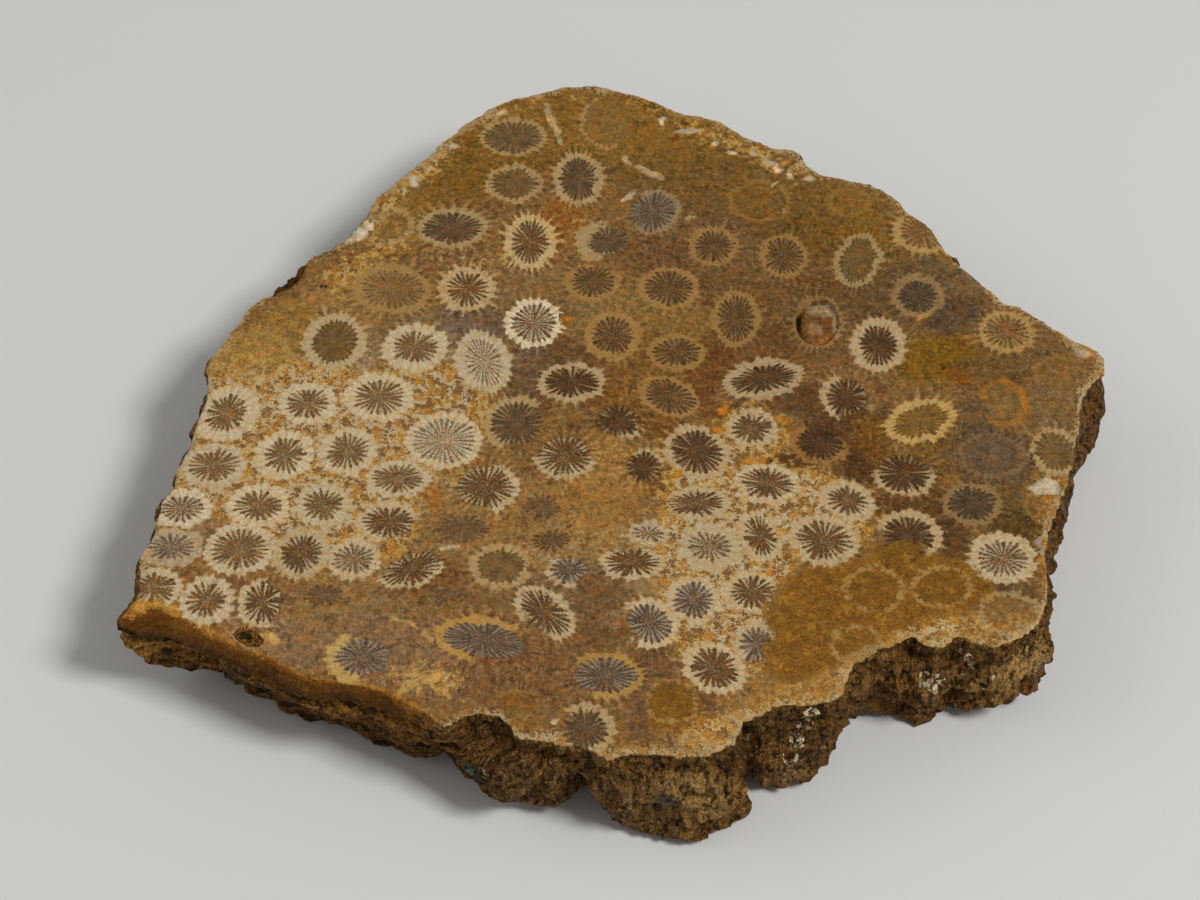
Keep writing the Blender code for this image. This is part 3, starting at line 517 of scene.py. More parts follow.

# Where the face shows fine pale streaks, its polish scratches drawn with a painted sheen: as above.
STREAKED = [
    (-28, -46, 22, 9, -15, 1),
    (-12, -42, 10, 6, 0, 0.7),
    (-3, -50, 6, 6, 0, 0.8),
    (50, -9, 9, 7, 0, 0.6),
    (2, 24, 12, 10, 0, 0.4),
]
# Where the sides break in layers or are less broken, and where the rim is rolled over.
LAYERED = [(-45.0, -50.0, 30.0, 9.0, -18, 1.0)]
EVEN = [(72.0, 4.0, 10.0, 34.0, 0, 1.0)]
ROLLED = [(-50.5, -46.2, 26.0, 8.0, -18, 1.0), (-49.5, 22.5, 5.0, 3.0, 40, 1.0)]

# The flat map that the finishes are baked through: its width, the width and height that
# the face has on it, and the gap between its pieces, in pixels.
MAP_PIXELS, FACE_PIXELS, FACE_TALL_PIXELS, GAP_PIXELS = 1024, 756, 702, 3

# The relief that breaks up the rock: name, kind of texture, size and height in mm, the
# level that stays put, and the texture's own settings.
ROCK = (
    ("Lumps", "CLOUDS", 2.8, 1.3, 0.5, {"noise_depth": 2}),
    ("Chips", "VORONOI", 1.9, 0.85, 0.4, {"distance_metric": "CHEBYCHEV"}),
    ("Grain", "VORONOI", 1.0, 0.3, 0.4, {"distance_metric": "MANHATTAN"}),
)

# Measures of the skin.
SIDE_DEPTH = 0.3  # the finer net starts this far below the face, in mm
# A face that looks down by more than the first number, below the second in mm, keeps the
# plain net, or goes with the underside on the flat map.
NET_UNDER, MAP_UNDER = (0.75, 5.0), (0.6, 6.0)
MAP_TOP = 0.6  # a face that looks up by more than this goes with the polished face there
RIM_EASE = 3  # points on each side that each point of the rim is averaged with
RIM_JUMP = 0.6  # a point and its face may differ by this much in their way round, in mm
ROLL_REACH = 1.1  # how far in from the rim the rolled edge starts, in mm
ROLL_DROP = 0.9  # how far it has dropped at the rim, in mm
FRINGE_REACH = 1.3  # how far in from the rim its pale fringe reaches, in mm
SMOOTH_ANGLE = math.radians(24.0)  # a sharper edge of the skin stays an edge
UNDERSIDE_BAND = 4.0  # the underside's points lie below this height, in mm
RIM_TOP, RIM_FOOT = 0.4, 3.0  # how far below the face the top of the sides lies, in mm
EDGE_PIT = (-51.6, -43.6, 3.0, 1.7, -28)  # a pit that the rolled edge leaves out: as SUNK
SUNK_DEPTH = 0.85  # of the trench round the sunk cup, in mm
SUNK_BAND = 2.0  # the sunk cup lies within this depth below the face, in mm
MARK_LIFT = 0.7  # a point in a mark counts as this much nearer to it than it is, in mm
# Bumps in the material, as strength and distance in metres, and how much each part shines.
ROCK_BUMP, FACE_BUMP = (1.0, 0.0013), (0.9, 0.0006)
ROCK_GLOSS, FACE_GLOSS = 0.08, 0.06

# Colour on the broken sides: x, y, height, reach, colour, strength.
SIDES = [
    (-60, -41, 12, 6, (0.3, 0.15, 0.03), 0.8),
    (-50, -46, 15, 6, (0.26, 0.115, 0.017), 0.8),
    (-40, -51, 13, 7, (0.25, 0.108, 0.015), 0.85),
    (-31, -53.5, 13, 6, (0.25, 0.115, 0.018), 0.85),
    (-67, -41.5, 12, 5, (0.38, 0.18, 0.03), 0.9),
    (-2, -64, 8, 9, (0.18, 0.1, 0.032), 0.8),
    (8, -64, 10, 6, (0.36, 0.21, 0.07), 0.9),
    (5, -65, 10, 1.8, (0.05, 0.045, 0.045), 0.9),
    (14, -62, 9, 2, (0.42, 0.2, 0.04), 0.7),
    (20.5, -55.5, 4, 3.5, (0.34, 0.2, 0.08), 0.7),
    (48, -45, 9, 5.5, (0.34, 0.185, 0.05), 0.9),
    (54, -43, 12, 4.5, (0.44, 0.26, 0.085), 0.9),
    (41, -46, 10, 3, (0.2, 0.105, 0.03), 0.6),
    (-15, -61.5, 10, 4, (0.16, 0.09, 0.028), 0.7),
    (-21.7, -59.9, 10.1, 1.2, (0.1, 0.17, 0.14), 0.9),
]
# Clusters of pale crystals on the sides: as above, without a colour.
CRYSTALS = [
    (24, -54.5, 16, 1.3, 1),
    (23.2, -54.6, 13, 1.5, 1),
    (22.4, -54.5, 10, 1.5, 1),
    (21.5, -55.9, 7.5, 1.5, 0.9),
    (41, -45.8, 11, 2, 1),
    (45.6, -43.8, 15, 1.3, 1),
    (45.9, -44.2, 12.5, 1.5, 0.9),
    (45.2, -44.6, 9.9, 1.4, 0.9),
    (44.4, -45.2, 6.5, 1.2, 0.8),
    (49.5, -44.5, 10, 3.5, 0.35),
    (9, -64, 12, 3.5, 0.15),
    (-19.4, -61, 11.3, 1.2, 0.8),
    (20.5, -56, 3.5, 1.6, 0.6),
    (52, -42, 15, 1.3, 0.75),
    (52.6, -42.2, 11.5, 1.4, 0.75),
    (51.2, -43, 8, 1.2, 0.6),
    (50.6, -44, 4, 1.2, 0.5),
]

# The studio: each lamp's name, place in metres, size in metres and watts, the soft light
# all round, and the place on the chart in the middle of the picture.
LIGHTS = (
    ("key", (0.85, -0.5, 1.3), 0.4, 16.5),
    ("fill", (-1.2, 0.1, 0.9), 1.2, 4.0),
)
SKY_COLOUR, SKY_STRENGTH = (1.0, 0.97, 0.93), 0.26
PICTURE_MIDDLE = (-4.127, -10.749)
SENSOR_WIDTH = 36.0  # of the camera, in mm


def chart(x, y):
    """A place on the chart as a place on the slab, in mm."""
    return x + CHART_ZERO[0], y + CHART_ZERO[1]


def set_up(thing, **settings):
    """Gives a thing these settings, and returns it."""
    for name, value in settings.items():
        setattr(thing, name, value)
    return thing


def select_only(obj):
    bpy.ops.object.select_all(action="DESELECT")
    obj.select_set(True)
    bpy.context.view_layer.objects.active = obj


def modify(obj, name, kind, **settings):
    """Adds a modifier with these settings and applies it."""
    set_up(obj.modifiers.new(name, kind), **settings)
    select_only(obj)
    bpy.ops.object.modifier_apply(modifier=name)


def positions(mesh):
    """The mesh's points, in mm."""
    points = np.empty(len(mesh.vertices) * 3, np.float64)
    mesh.vertices.foreach_get("co", points)
    return points.reshape(-1, 3) / MM


def put_positions(mesh, points):
    mesh.vertices.foreach_set("co", (points * MM).astype(np.float32).ravel())
    mesh.update()


def faces_of(mesh):
    """Middle, in mm, and normal of each face."""
    count = len(mesh.polygons)
    middle = np.empty(count * 3)
    normal = np.empty(count * 3)
    mesh.polygons.foreach_get("center", middle)
    mesh.polygons.foreach_get("normal", normal)
    return middle.reshape(-1, 3) / MM, normal.reshape(-1, 3)


def corners_of(mesh):
    """The face and the point of each of its corners."""
    counts = np.empty(len(mesh.polygons), np.int32)
    mesh.polygons.foreach_get("loop_total", counts)
    vertex = np.empty(len(mesh.loops), np.int32)
    mesh.loops.foreach_get("vertex_index", vertex)
    return np.repeat(np.arange(len(counts)), counts), vertex


def smooth_step(low, high, value):
    t = np.clip((value - low) / (high - low), 0.0, 1.0)
    return t * t * (3.0 - 2.0 * t)


def wander(points, size, seed):
    """A soft random value from -1 to 1 at each point, whose lumps are size mm across."""
    return np.array([noise.noise(Vector(p) / size + Vector((seed, 0, 0))) for p in points])


def weigh(obj, name, weights, levels=20):
    """A vertex group holding these weights, in even steps."""
    group = obj.vertex_groups.new(name=name)
    steps = np.rint(np.clip(weights, 0, 1) * levels).astype(int)
    for step in range(1, levels + 1):
        chosen = np.flatnonzero(steps == step)
        if len(chosen):
            group.add(chosen.tolist(), step / levels, "REPLACE")


def tree_of(places):
    """A tree that finds which of these places is nearest in plan."""
    tree = KDTree(len(places))
    for i, place in enumerate(places):
        tree.insert((place[0], place[1], 0), i)
    tree.balance()
    return tree


def mesh_mode(mode):
    bpy.ops.object.mode_set(mode=mode)


# ---------------------------------------------------------------- the stone's shape


def copy_of_solid():
    """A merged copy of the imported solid, free of the frame's own marks."""
    node = frame["nodes"][NODE]
    bpy.ops.object.select_all(action="DESELECT")
    stone = node.copy()
    stone.data = node.data.copy()
    stone.name = stone.data.name = STONE
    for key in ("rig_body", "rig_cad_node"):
        if key in stone:
            del stone[key]
    stone.parent = None
    bpy.context.scene.collection.objects.link(stone)
    select_only(stone)
    mesh_mode("EDIT")
    bpy.ops.mesh.select_all(action="SELECT")
    bpy.ops.mesh.remove_doubles(threshold=1e-6)
    mesh_mode("OBJECT")
    return stone


def even_skin(stone, size):
    """Lays an even net of faces over the solid."""
    guide = stone.copy()
    guide.data = stone.data.copy()
    bpy.context.scene.collection.objects.link(guide)
    modify(stone, "Even net", "REMESH", mode="VOXEL", voxel_size=size * MM)
    onto = "NEAREST_SURFACEPOINT"
    modify(stone, "Back to the solid", "SHRINKWRAP", wrap_method=onto, target=guide)
    bpy.data.objects.remove(guide)


def facing_down(middle, normal, lean, height):
    """Which faces look down by more than lean and lie below this height."""
    return (normal[:, 2] < -lean) & (middle[:, 2] < height)


def divide_sides(stone):
    """Gives the broken sides a net twice as fine as the rest."""
    middle, normal = faces_of(stone.data)
    under = facing_down(middle, normal, *NET_UNDER)
    divide(stone, (middle[:, 2] < FACE_HEIGHT - SIDE_DEPTH) & ~under, 1)


def divide(stone, chosen, cuts):
    """Cuts the chosen faces finer."""
    select_only(stone)
    mesh_mode("EDIT")
    bpy.ops.mesh.select_mode(type="FACE")
    bpy.ops.mesh.select_all(action="DESELECT")
    mesh_mode("OBJECT")
    stone.data.polygons.foreach_set("select", chosen)
    mesh_mode("EDIT")
    bpy.ops.mesh.subdivide(number_cuts=cuts)
    mesh_mode("OBJECT")


def rim_line(mesh, top):
    """The rim's points in order, in mm: the longest closed line between top faces and others."""
    face, _ = corners_of(mesh)
    edge = np.empty(len(face), np.int32)
    mesh.loops.foreach_get("edge_index", edge)
    beside = np.bincount(edge, top[face])
    ways = {}
    for i in np.flatnonzero(beside == 1):
        a, b = mesh.edges[i].vertices
        ways.setdefault(a, []).append(b)
        ways.setdefault(b, []).append(a)
    longest = []
    while ways:
        at = min(ways)
        line = [at]
        while ways.get(at):
            onward = ways[at].pop()
            ways[onward].remove(at)
            if not ways[at]:
                del ways[at]
            at = onward
            line.append(at)
        ways = {key: value for key, value in ways.items() if value}
        if len(line) > len(longest):
            longest = line
    return positions(mesh)[longest[:-1]]


def bake_map(stone):
    """Unwraps the skin flat while it is still smooth: the face as one piece, the sides in
    three strips above it, and the underside in two halves beside it."""
    mesh = stone.data
    points = positions(mesh)
    middle, normal = faces_of(mesh)
    top = normal[:, 2] > MAP_TOP
    under = facing_down(middle, normal, *MAP_UNDER)
    rim = rim_line(mesh, top)[:, :2]
    wide = np.concatenate([rim[-RIM_EASE:], rim, rim[:RIM_EASE]])
    share = 2 * RIM_EASE + 1
    rim = sum(wide[i : i + len(rim)] for i in range(share)) / share
    steps = np.linalg.norm(np.roll(rim, -1, 0) - rim, axis=1)
    along = np.concatenate([[0.0], np.cumsum(steps)])
    total = along[-1]
    heading = np.roll(rim, -1, 0) - np.roll(rim, 1, 0)
    heading /= np.maximum(np.linalg.norm(heading, axis=1), 1e-9)[:, None]
    tree = tree_of(rim)

    def reach(places):
        """How far round the rim each place is, and the rim's heading there."""
        near = np.array([tree.find((x, y, 0))[1] for x, y, _ in places])
        ahead = ((places[:, :2] - rim[near]) * heading[near]).sum(1)
        return along[near] + ahead, heading[near]

    face, vertex = corners_of(mesh)
    at = points[vertex]
    low, high = points.min(0), points.max(0)
    across = (high - low)[:2]
    flat = (at[:, :2] - low[:2]) * (FACE_PIXELS / max(across))

    # the sides, each point by its own way round the rim unless that jumps
    middle_reach, middle_heading = reach(middle)
    point_reach = reach(points)[0][vertex]
    own = middle_reach[face] + ((at - middle[face])[:, :2] * middle_heading[face]).sum(1)
    there = np.where(np.abs(point_reach - own) < RIM_JUMP, point_reach, own)
    strip = np.clip(middle_reach / total * 3, 0, 2.999).astype(int)[face]
    round_rim = (there / total * 3 - strip) * (FACE_PIXELS - 2 * GAP_PIXELS) + GAP_PIXELS
    tall = (MAP_PIXELS - FACE_TALL_PIXELS) / 3
    up = FACE_TALL_PIXELS + strip * tall + GAP_PIXELS
    up = up + (at[:, 2] - low[2]) / (high[2] - low[2]) * (tall - 2 * GAP_PIXELS)

    # the underside
    half = (middle[:, 0] > (low[0] + high[0]) / 2).astype(int)[face]
    fit = (MAP_PIXELS - FACE_PIXELS - 3 * GAP_PIXELS) / (across[0] / 2)
    below = np.stack([
        FACE_PIXELS + 2 * GAP_PIXELS + (at[:, 0] - low[0] - half * across[0] / 2) * fit,
        GAP_PIXELS + half * MAP_PIXELS / 2 + (at[:, 1] - low[1]) * fit,
    ], 1)
    spread = np.where(top[face][:, None], flat, np.stack([round_rim, up], 1))
    spread = np.where(under[face][:, None], below, spread)
    layer = mesh.uv_layers.new(name="OFBake", do_init=False)
    layer.data.foreach_set("uv", (spread / MAP_PIXELS).astype(np.float32).ravel())


def break_rock(stone, relief):
    """Softens the solid's facets on the sides and underside, then breaks them up finer."""
    points = positions(stone.data)
    depth = FACE_HEIGHT - points[:, 2]
    calm = 1 - 0.5 * np.clip(wash(points, LAYERED + EVEN), 0, 1)
    weigh(stone, "broken", smooth_step(FACE_BAND, 1.2, depth) * calm)
    modify(stone, "Soften facets", "SMOOTH", factor=0.5, iterations=4, vertex_group="broken")
    for name, kind, size, height, level, settings in ROCK:
        texture = bpy.data.textures.new(name, kind)
        set_up(texture, noise_scale=size * MM, **settings)
        modify(
            stone, name, "DISPLACE", texture=texture, texture_coords="LOCAL",
            strength=height * relief * MM, mid_level=level, vertex_group="broken",
        )
    points = positions(stone.data)
    depth = FACE_HEIGHT - points[:, 2]
    normals = np.empty(len(points) * 3)
    stone.data.vertex_normals.foreach_get("vector", normals)
    ledges = wander(points * (0.2, 0.2, 1.0), 1.5, 4.4)
    ledges *= np.clip(wash(points, LAYERED), 0, 1) * smooth_step(2.0, 4.5, depth)
    folds = wander(points * (1.0, 1.0, 0.25), 1.5, 6.2) * 0.6 * smooth_step(0.8, 3.0, depth)
    folds *= 1 - np.clip(wash(points, LAYERED + EVEN), 0, 0.8)
    points[:, :2] += normals.reshape(-1, 3)[:, :2] * ((ledges + folds) * relief)[:, None]
    put_positions(stone.data, points)


def roll_edge(stone):
    """Rounds the rim where it is rolled over. It returns, for each point, how far it is
    rolled and how strongly the rim's pale fringe shows."""
    points = positions(stone.data)
    depth = FACE_HEIGHT - points[:, 2]
    rims = tree_of(points[(depth > RIM_TOP) & (depth < RIM_FOOT)])
    near = np.zeros(len(points))
    for i in np.flatnonzero(depth < RIM_TOP):
        near[i] = rims.find((points[i, 0], points[i, 1], 0))[2]
    there = np.clip(wash(points, ROLLED), 0, 1)
    there[in_ellipse(points, *EDGE_PIT)[0] < 1] = 0
    rolled = there * np.clip(1 - near / ROLL_REACH, 0, 1) * smooth_step(4.5, 1.5, depth)
    points[:, 2] -= ROLL_DROP * rolled**2
    put_positions(stone.data, points)
    fringe = np.clip(1 - near / FRINGE_REACH, 0, 1) * (depth < RIM_TOP) * (1 - there)
    fringe[in_ellipse(points, *SUNK)[0] < 2] = 0
    return rolled, fringe


def in_sunk_cup(points, reach=1.0):
    """Which points lie in the sunk cup, or as far round it as the reach says."""
    near_top = points[:, 2] > FACE_HEIGHT - SUNK_BAND
    return (in_ellipse(points, *SUNK)[0] < reach) & near_top


def sink_cup(stone):
    """Sinks one cup below the polish: a narrow trench round an uneven dish."""
    divide(stone, in_sunk_cup(faces_of(stone.data)[0], 1.2), 3)
    points = positions(stone.data)
    ratio, _, across = in_ellipse(points, *SUNK)
    there = in_sunk_cup(points, 1.1)
    uneven = np.zeros(len(points))
    uneven[there] = wander(points[there], 1.1, 5.5)
    depth = SUNK_DEPTH * smooth_step(1.0, 0.93, ratio) * (1 - 0.55 * smooth_step(0.92, 0.7, ratio))
    depth *= 1 + 0.3 * across / SUNK[3] * smooth_step(0.5, 0.9, ratio)
    depth += 0.22 * uneven * smooth_step(0.95, 0.7, ratio)
    points[there, 2] = FACE_HEIGHT - depth[there]
    put_positions(stone.data, points)


def keep_in_box(stone):
    """Holds the skin inside the solid's box, and its rest points on the ground."""
    low, high = (np.array(corner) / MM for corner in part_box(NODE))
    points = positions(stone.data)
    put_positions(stone.data, np.clip(points, low, high))


def thin_underside(stone, share):
    """Leaves fewer faces on the underside, which is seen least."""
    weigh(stone, "under", (positions(stone.data)[:, 2] < UNDERSIDE_BAND).astype(float), 1)
    modify(
        stone, "Fewer faces below", "DECIMATE", ratio=share,
        vertex_group="under", vertex_group_factor=10.0,
    )


# ---------------------------------------------------------------- the stone's markings


def in_ellipse(points, x, y, length, width, turn):
    """Distance of each point from an ellipse's middle, where its edge is at 1."""
    x, y = chart(x, y)
    angle = math.radians(turn)
    dx, dy = points[:, 0] - x, points[:, 1] - y
    along = dx * math.cos(angle) + dy * math.sin(angle)
    across = dy * math.cos(angle) - dx * math.sin(angle)
    return np.hypot(along / length, across / width), along, across


# What marks_table says of each corallite or mark, in this order.
COLUMNS = (
    "x y length width turn wall count seed wall_on cup_on septa_on fill spread"
    " open_x open_y open_reach"
).split()


def marks_table():
    """Every corallite and mark as one row of numbers, and the colours that go with it."""
    rows, colours = [], []
    for i, (x, y, length, width, turn, wall, look, *opening) in enumerate(CORALLITES):
        rim, cup, septa, wall_on, cup_on, septa_on, fill, spread = LOOKS[look]
        middle = math.sqrt((length**2 + width**2) / 2)
        count = 2 * round(math.pi * middle / SEPTUM_SPACING)
        facing, half = opening[0] if opening else (0, 180)
        way = math.radians(facing - turn)
        reach = math.cos(math.radians(half)) if opening else -3.0
        rows.append((x, y, length, width, turn, wall, count, i * 1.37, wall_on, cup_on,
                     septa_on, fill, spread, math.cos(way), math.sin(way), reach))
        shade = 1.0 + 0.07 * math.sin(i * 2.4)
        colours.append([tuple(c * shade for c in rim), cup, septa])
    for i, (x, y, length, width, turn, colour, strength) in enumerate(MARKS):
        # a mark has a hair-thin wall that doesn't show, and no septa
        rows.append((x, y, length, width, turn, 0.01, 12, 40 + i * 0.91, 0.0, strength,
                     0.0, 0.0, 0.0, 1.0, 0.0, -3.0))
        colours.append([colour, colour, colour])
    return np.array(rows), np.array(colours)


def beyond_wall(points, rows):
    """For each point and corallite, how far in mm the point lies outside its wall."""
    out = np.empty((len(points), len(rows)), np.float32)
    for i, row in enumerate(rows):
        own = dict(zip(COLUMNS, row))
        ratio, along, across = in_ellipse(points, *row[:5])
        ratio = np.maximum(ratio, 1e-6)
        out[:, i] = np.hypot(along, across) * (1 - 1 / ratio) - own["wall"]
        if own["wall_on"] == 0:  # a mark lies over any wall
            out[:, i] -= MARK_LIFT * (ratio < 1)
    return out


def keep(mesh, domain, name, *parts):
    """Stores three numbers, or rows of three, on the mesh's points or corners."""
    values = parts[0] if len(parts) == 1 else np.stack(parts, 1)
    layer = mesh.attributes.new(name, "FLOAT_VECTOR", domain)
    layer.data.foreach_set("vector", np.ascontiguousarray(values, np.float32).ravel())


def chart_corallites(stone):
    """Gives each face its nearest corallite's place, size, look and colours. It returns, for
    each point, how much farther off the next corallite is than the nearest, in mm."""
    mesh = stone.data
    rows, colours = marks_table()
    points = positions(mesh)
    face, vertex = corners_of(mesh)
    owner = beyond_wall(faces_of(mesh)[0], rows).argmin(1)[face]
    nearest = np.sort(beyond_wall(points, rows), axis=1)
    own = dict(zip(COLUMNS, rows[owner].T))
    x, y = chart(own["x"], own["y"])
    angle = np.radians(own["turn"])
    dx, dy = points[vertex, 0] - x, points[vertex, 1] - y
    own["along"] = dx * np.cos(angle) + dy * np.sin(angle)
    own["across"] = dy * np.cos(angle) - dx * np.sin(angle)
    for name, parts in (
        ("cup place", "along across seed"),
        ("cup size", "length width wall"),
        ("cup strength", "wall_on cup_on septa_on"),
        ("cup habit", "fill spread count"),
        ("cup opening", "open_x open_y open_reach"),
    ):
        keep(mesh, "CORNER", name, *(own[part] for part in parts.split()))
    for i, name in enumerate(("wall colour", "cup colour", "septa colour")):
        keep(mesh, "CORNER", name, colours[owner, i])
    return np.clip(nearest[:, 1] - nearest[:, 0], 0, 3)


def wash(points, patches, jitter=0.0):
    """How strongly the strongest of these patches covers each point, from 0."""
    cover = np.zeros(len(points))
    for *place, strength in patches:
        edge = (1 - in_ellipse(points, *place)[0]) * min(place[2:4]) / 4.0 + 0.5 + jitter
        cover = np.maximum(cover, np.clip(edge, 0, 1.5) * strength)
    return cover


def from_place(points, x, y, height, reach):
    """Distance of each point from a place over the chart, where its reach is 1."""
    return np.linalg.norm(points - (*chart(x, y), height), axis=1) / reach


def lay(colours, colour, cover):
    """Lays one colour over each point's own, as far as its cover says."""
    colours += (np.array(colour) - colours) * cover[:, None]


def paint_ground(stone, margin, rolled, fringe):
    """Lays the soft ground colours, and where the stone is granular, glazed or broken."""
    mesh = stone.data
    points = positions(mesh)
    broad = wander(points, 5.0, 3.1) * 0.6 + wander(points, 2.2, 8.7) * 0.4
    face = 1 - smooth_step(0.05, 0.6, FACE_HEIGHT - points[:, 2])
    face[in_sunk_cup(points)] = 1
    ground = np.tile(np.array(PLAIN_GROUND), (len(points), 1))
    for *place, colour, strength in GROUNDS:
        ratio = in_ellipse(points, *place)[0] + broad * 0.35
        lay(ground, colour, smooth_step(1.25, 0.6, ratio) * strength)
    for *place, cast in CASTS:
        cover = smooth_step(1.3, 0.6, in_ellipse(points, *place)[0] + broad * 0.3)
        ground *= 1 + (np.array(cast) - 1) * cover[:, None]
    side = np.tile(np.array(PLAIN_SIDE), (len(points), 1))
    side *= (1 + 0.35 * wander(points, 7.0, 1.9) + 0.4 * wander(points, 19.0, 6.6))[:, None]
    for *place, colour, strength in SIDES:
        away = from_place(points, *place) + broad * 0.4
        lay(side, colour, smooth_step(1.2, 0.5, away) * strength)
    crystal = np.zeros(len(points))
    for *place, strength in CRYSTALS:
        cover = smooth_step(1.3, 0.5, from_place(points, *place)) * strength
        crystal = np.maximum(crystal, cover)
    granular = wash(points, GRANULAR, broad * 0.5)
    glaze = wash(points, GLAZE, broad * 0.25)
    streaked = wash(points, STREAKED, broad * 0.4)
    layered = wash(points, LAYERED, broad * 0.3)
    mix = face[:, None]
    keep(mesh, "POINT", "ground colour", ground * mix + side * (1 - mix))
    keep(mesh, "POINT", "ground habit", granular, glaze, crystal)
    keep(mesh, "POINT", "polish", face, margin, fringe)
    keep(mesh, "POINT", "edge", rolled, layered, streaked)


# ---------------------------------------------------------------- shader sums


class Flow:
    """A number running through a material, for use in ordinary sums."""

    def __init__(self, bench, socket):
        self.bench, self.socket = bench, socket

    def sum_with(self, operation, *others):
        return self.bench.sum(operation, self, *others)

    def __add__(self, other):
        return self.sum_with("ADD", other)

    def __sub__(self, other):
        return self.sum_with("SUBTRACT", other)

    def __rsub__(self, other):
        return self.bench.sum("SUBTRACT", other, self)

    def __mul__(self, other):
        return self.sum_with("MULTIPLY", other)

    def __truediv__(self, other):
        return self.sum_with("DIVIDE", other)

    def __rtruediv__(self, other):
        return self.bench.sum("DIVIDE", other, self)

    __radd__ = __add__
    __rmul__ = __mul__

    def __abs__(self):
        return self.sum_with("ABSOLUTE")

    def most(self, other):
        return self.sum_with("MAXIMUM", other)

    def least(self, other):
        return self.sum_with("MINIMUM", other)

    def step(self, low, high):
        """Rises smoothly from 0 at low to 1 at high."""
        values = {0: self, 1: low, 2: high}
        return self.bench.flow("ShaderNodeMapRange", values, interpolation_type="SMOOTHSTEP")


class Bench:
    """Makes the nodes of one material."""

    def __init__(self, material):
        material.use_nodes = True
        self.tree = material.node_tree
        self.tree.nodes.clear()

    def node(self, kind, values=None, **settings):
        """A node of this kind, with its settings, then the values or links of its sockets."""
        made = set_up(self.tree.nodes.new(kind), **settings)
        for key, value in (values or {}).items():
            socket = made.inputs[key]
            if isinstance(value, Flow):
                self.tree.links.new(value.socket, socket)
            elif isinstance(value, tuple) and socket.type == "RGBA":
                socket.default_value = (*value, 1.0)
            else:
                socket.default_value = value
        return made

    def flow(self, kind, values=None, out=0, **settings):
        return Flow(self, self.node(kind, values, **settings).outputs[out])

    def sum(self, operation, *values):
        return self.flow("ShaderNodeMath", dict(enumerate(values)), operation=operation)

    def attribute(self, name):
        return self.flow("ShaderNodeAttribute", out="Vector", attribute_name=name)

    def parts(self, vector):
        """The three numbers of a vector."""
        split = self.node("ShaderNodeSeparateXYZ", {0: vector})
        return [Flow(self, split.outputs[i]) for i in range(3)]

    def three(self, name):
        """The three numbers of an attribute."""
        return self.parts(self.attribute(name))

    def join(self, x, y, z=0.0):
        return self.flow("ShaderNodeCombineXYZ", {0: x, 1: y, 2: z})

    def vector(self, operation, *values, out=0):
        values = dict(enumerate(values))
        return self.flow("ShaderNodeVectorMath", values, out=out, operation=operation)

    def times(self, vector, by):
        """The vector or colour with each of its three numbers multiplied."""
        return self.vector("MULTIPLY", vector, by)

    def nudge(self, place, sway, by):
        """The place moved by a share of the sway."""
        return self.vector("MULTIPLY_ADD", sway, by, place)

    def sway(self, where, scale, **settings):
        """A soft random vector: as it comes, and again round 0."""
        drift = self.noise(where, scale, 1.0, out=1, **settings)
        return drift, self.vector("SUBTRACT", drift, (0.5, 0.5, 0.5))

    def mix(self, first, second, share):
        """One colour laid over another."""
        values = {0: share, 6: first, 7: second}
        return self.flow("ShaderNodeMix", values, out=2, data_type="RGBA")

    def layers(self, colour, *others):
        """The colour with others laid over it in turn, each by its own share."""
        for other, share in others:
            colour = self.mix(colour, other, share)
        return colour

    def shade(self, colour, amount):
        """The colour made lighter or darker."""
        return self.flow("ShaderNodeVectorMath", {0: colour, 3: amount}, operation="SCALE")

    def noise(self, where, scale, detail=2.0, rough=0.5, out=0, **settings):
        values = {"Vector": where, "Scale": scale, "Detail": detail, "Roughness": rough}
        return self.flow("ShaderNodeTexNoise", values, out=out, **settings)

    def swing(self, where, scale, detail=2.0, rough=0.5, **settings):
        """Noise that swings either side of 0, mostly between -1 and 1."""
        return self.noise(where, scale, detail, rough, **settings) * 4.0 - 2.0

    def grains(self, where, scale, **settings):
        """Grains of a Voronoi net: distance from the middle, then two numbers of each one's own."""
        values = {"Vector": where, "Scale": scale}
        node = self.node("ShaderNodeTexVoronoi", values, **settings)
        own = self.parts(Flow(self, node.outputs["Color"]))
        return Flow(self, node.outputs["Distance"]), own[0], own[1]


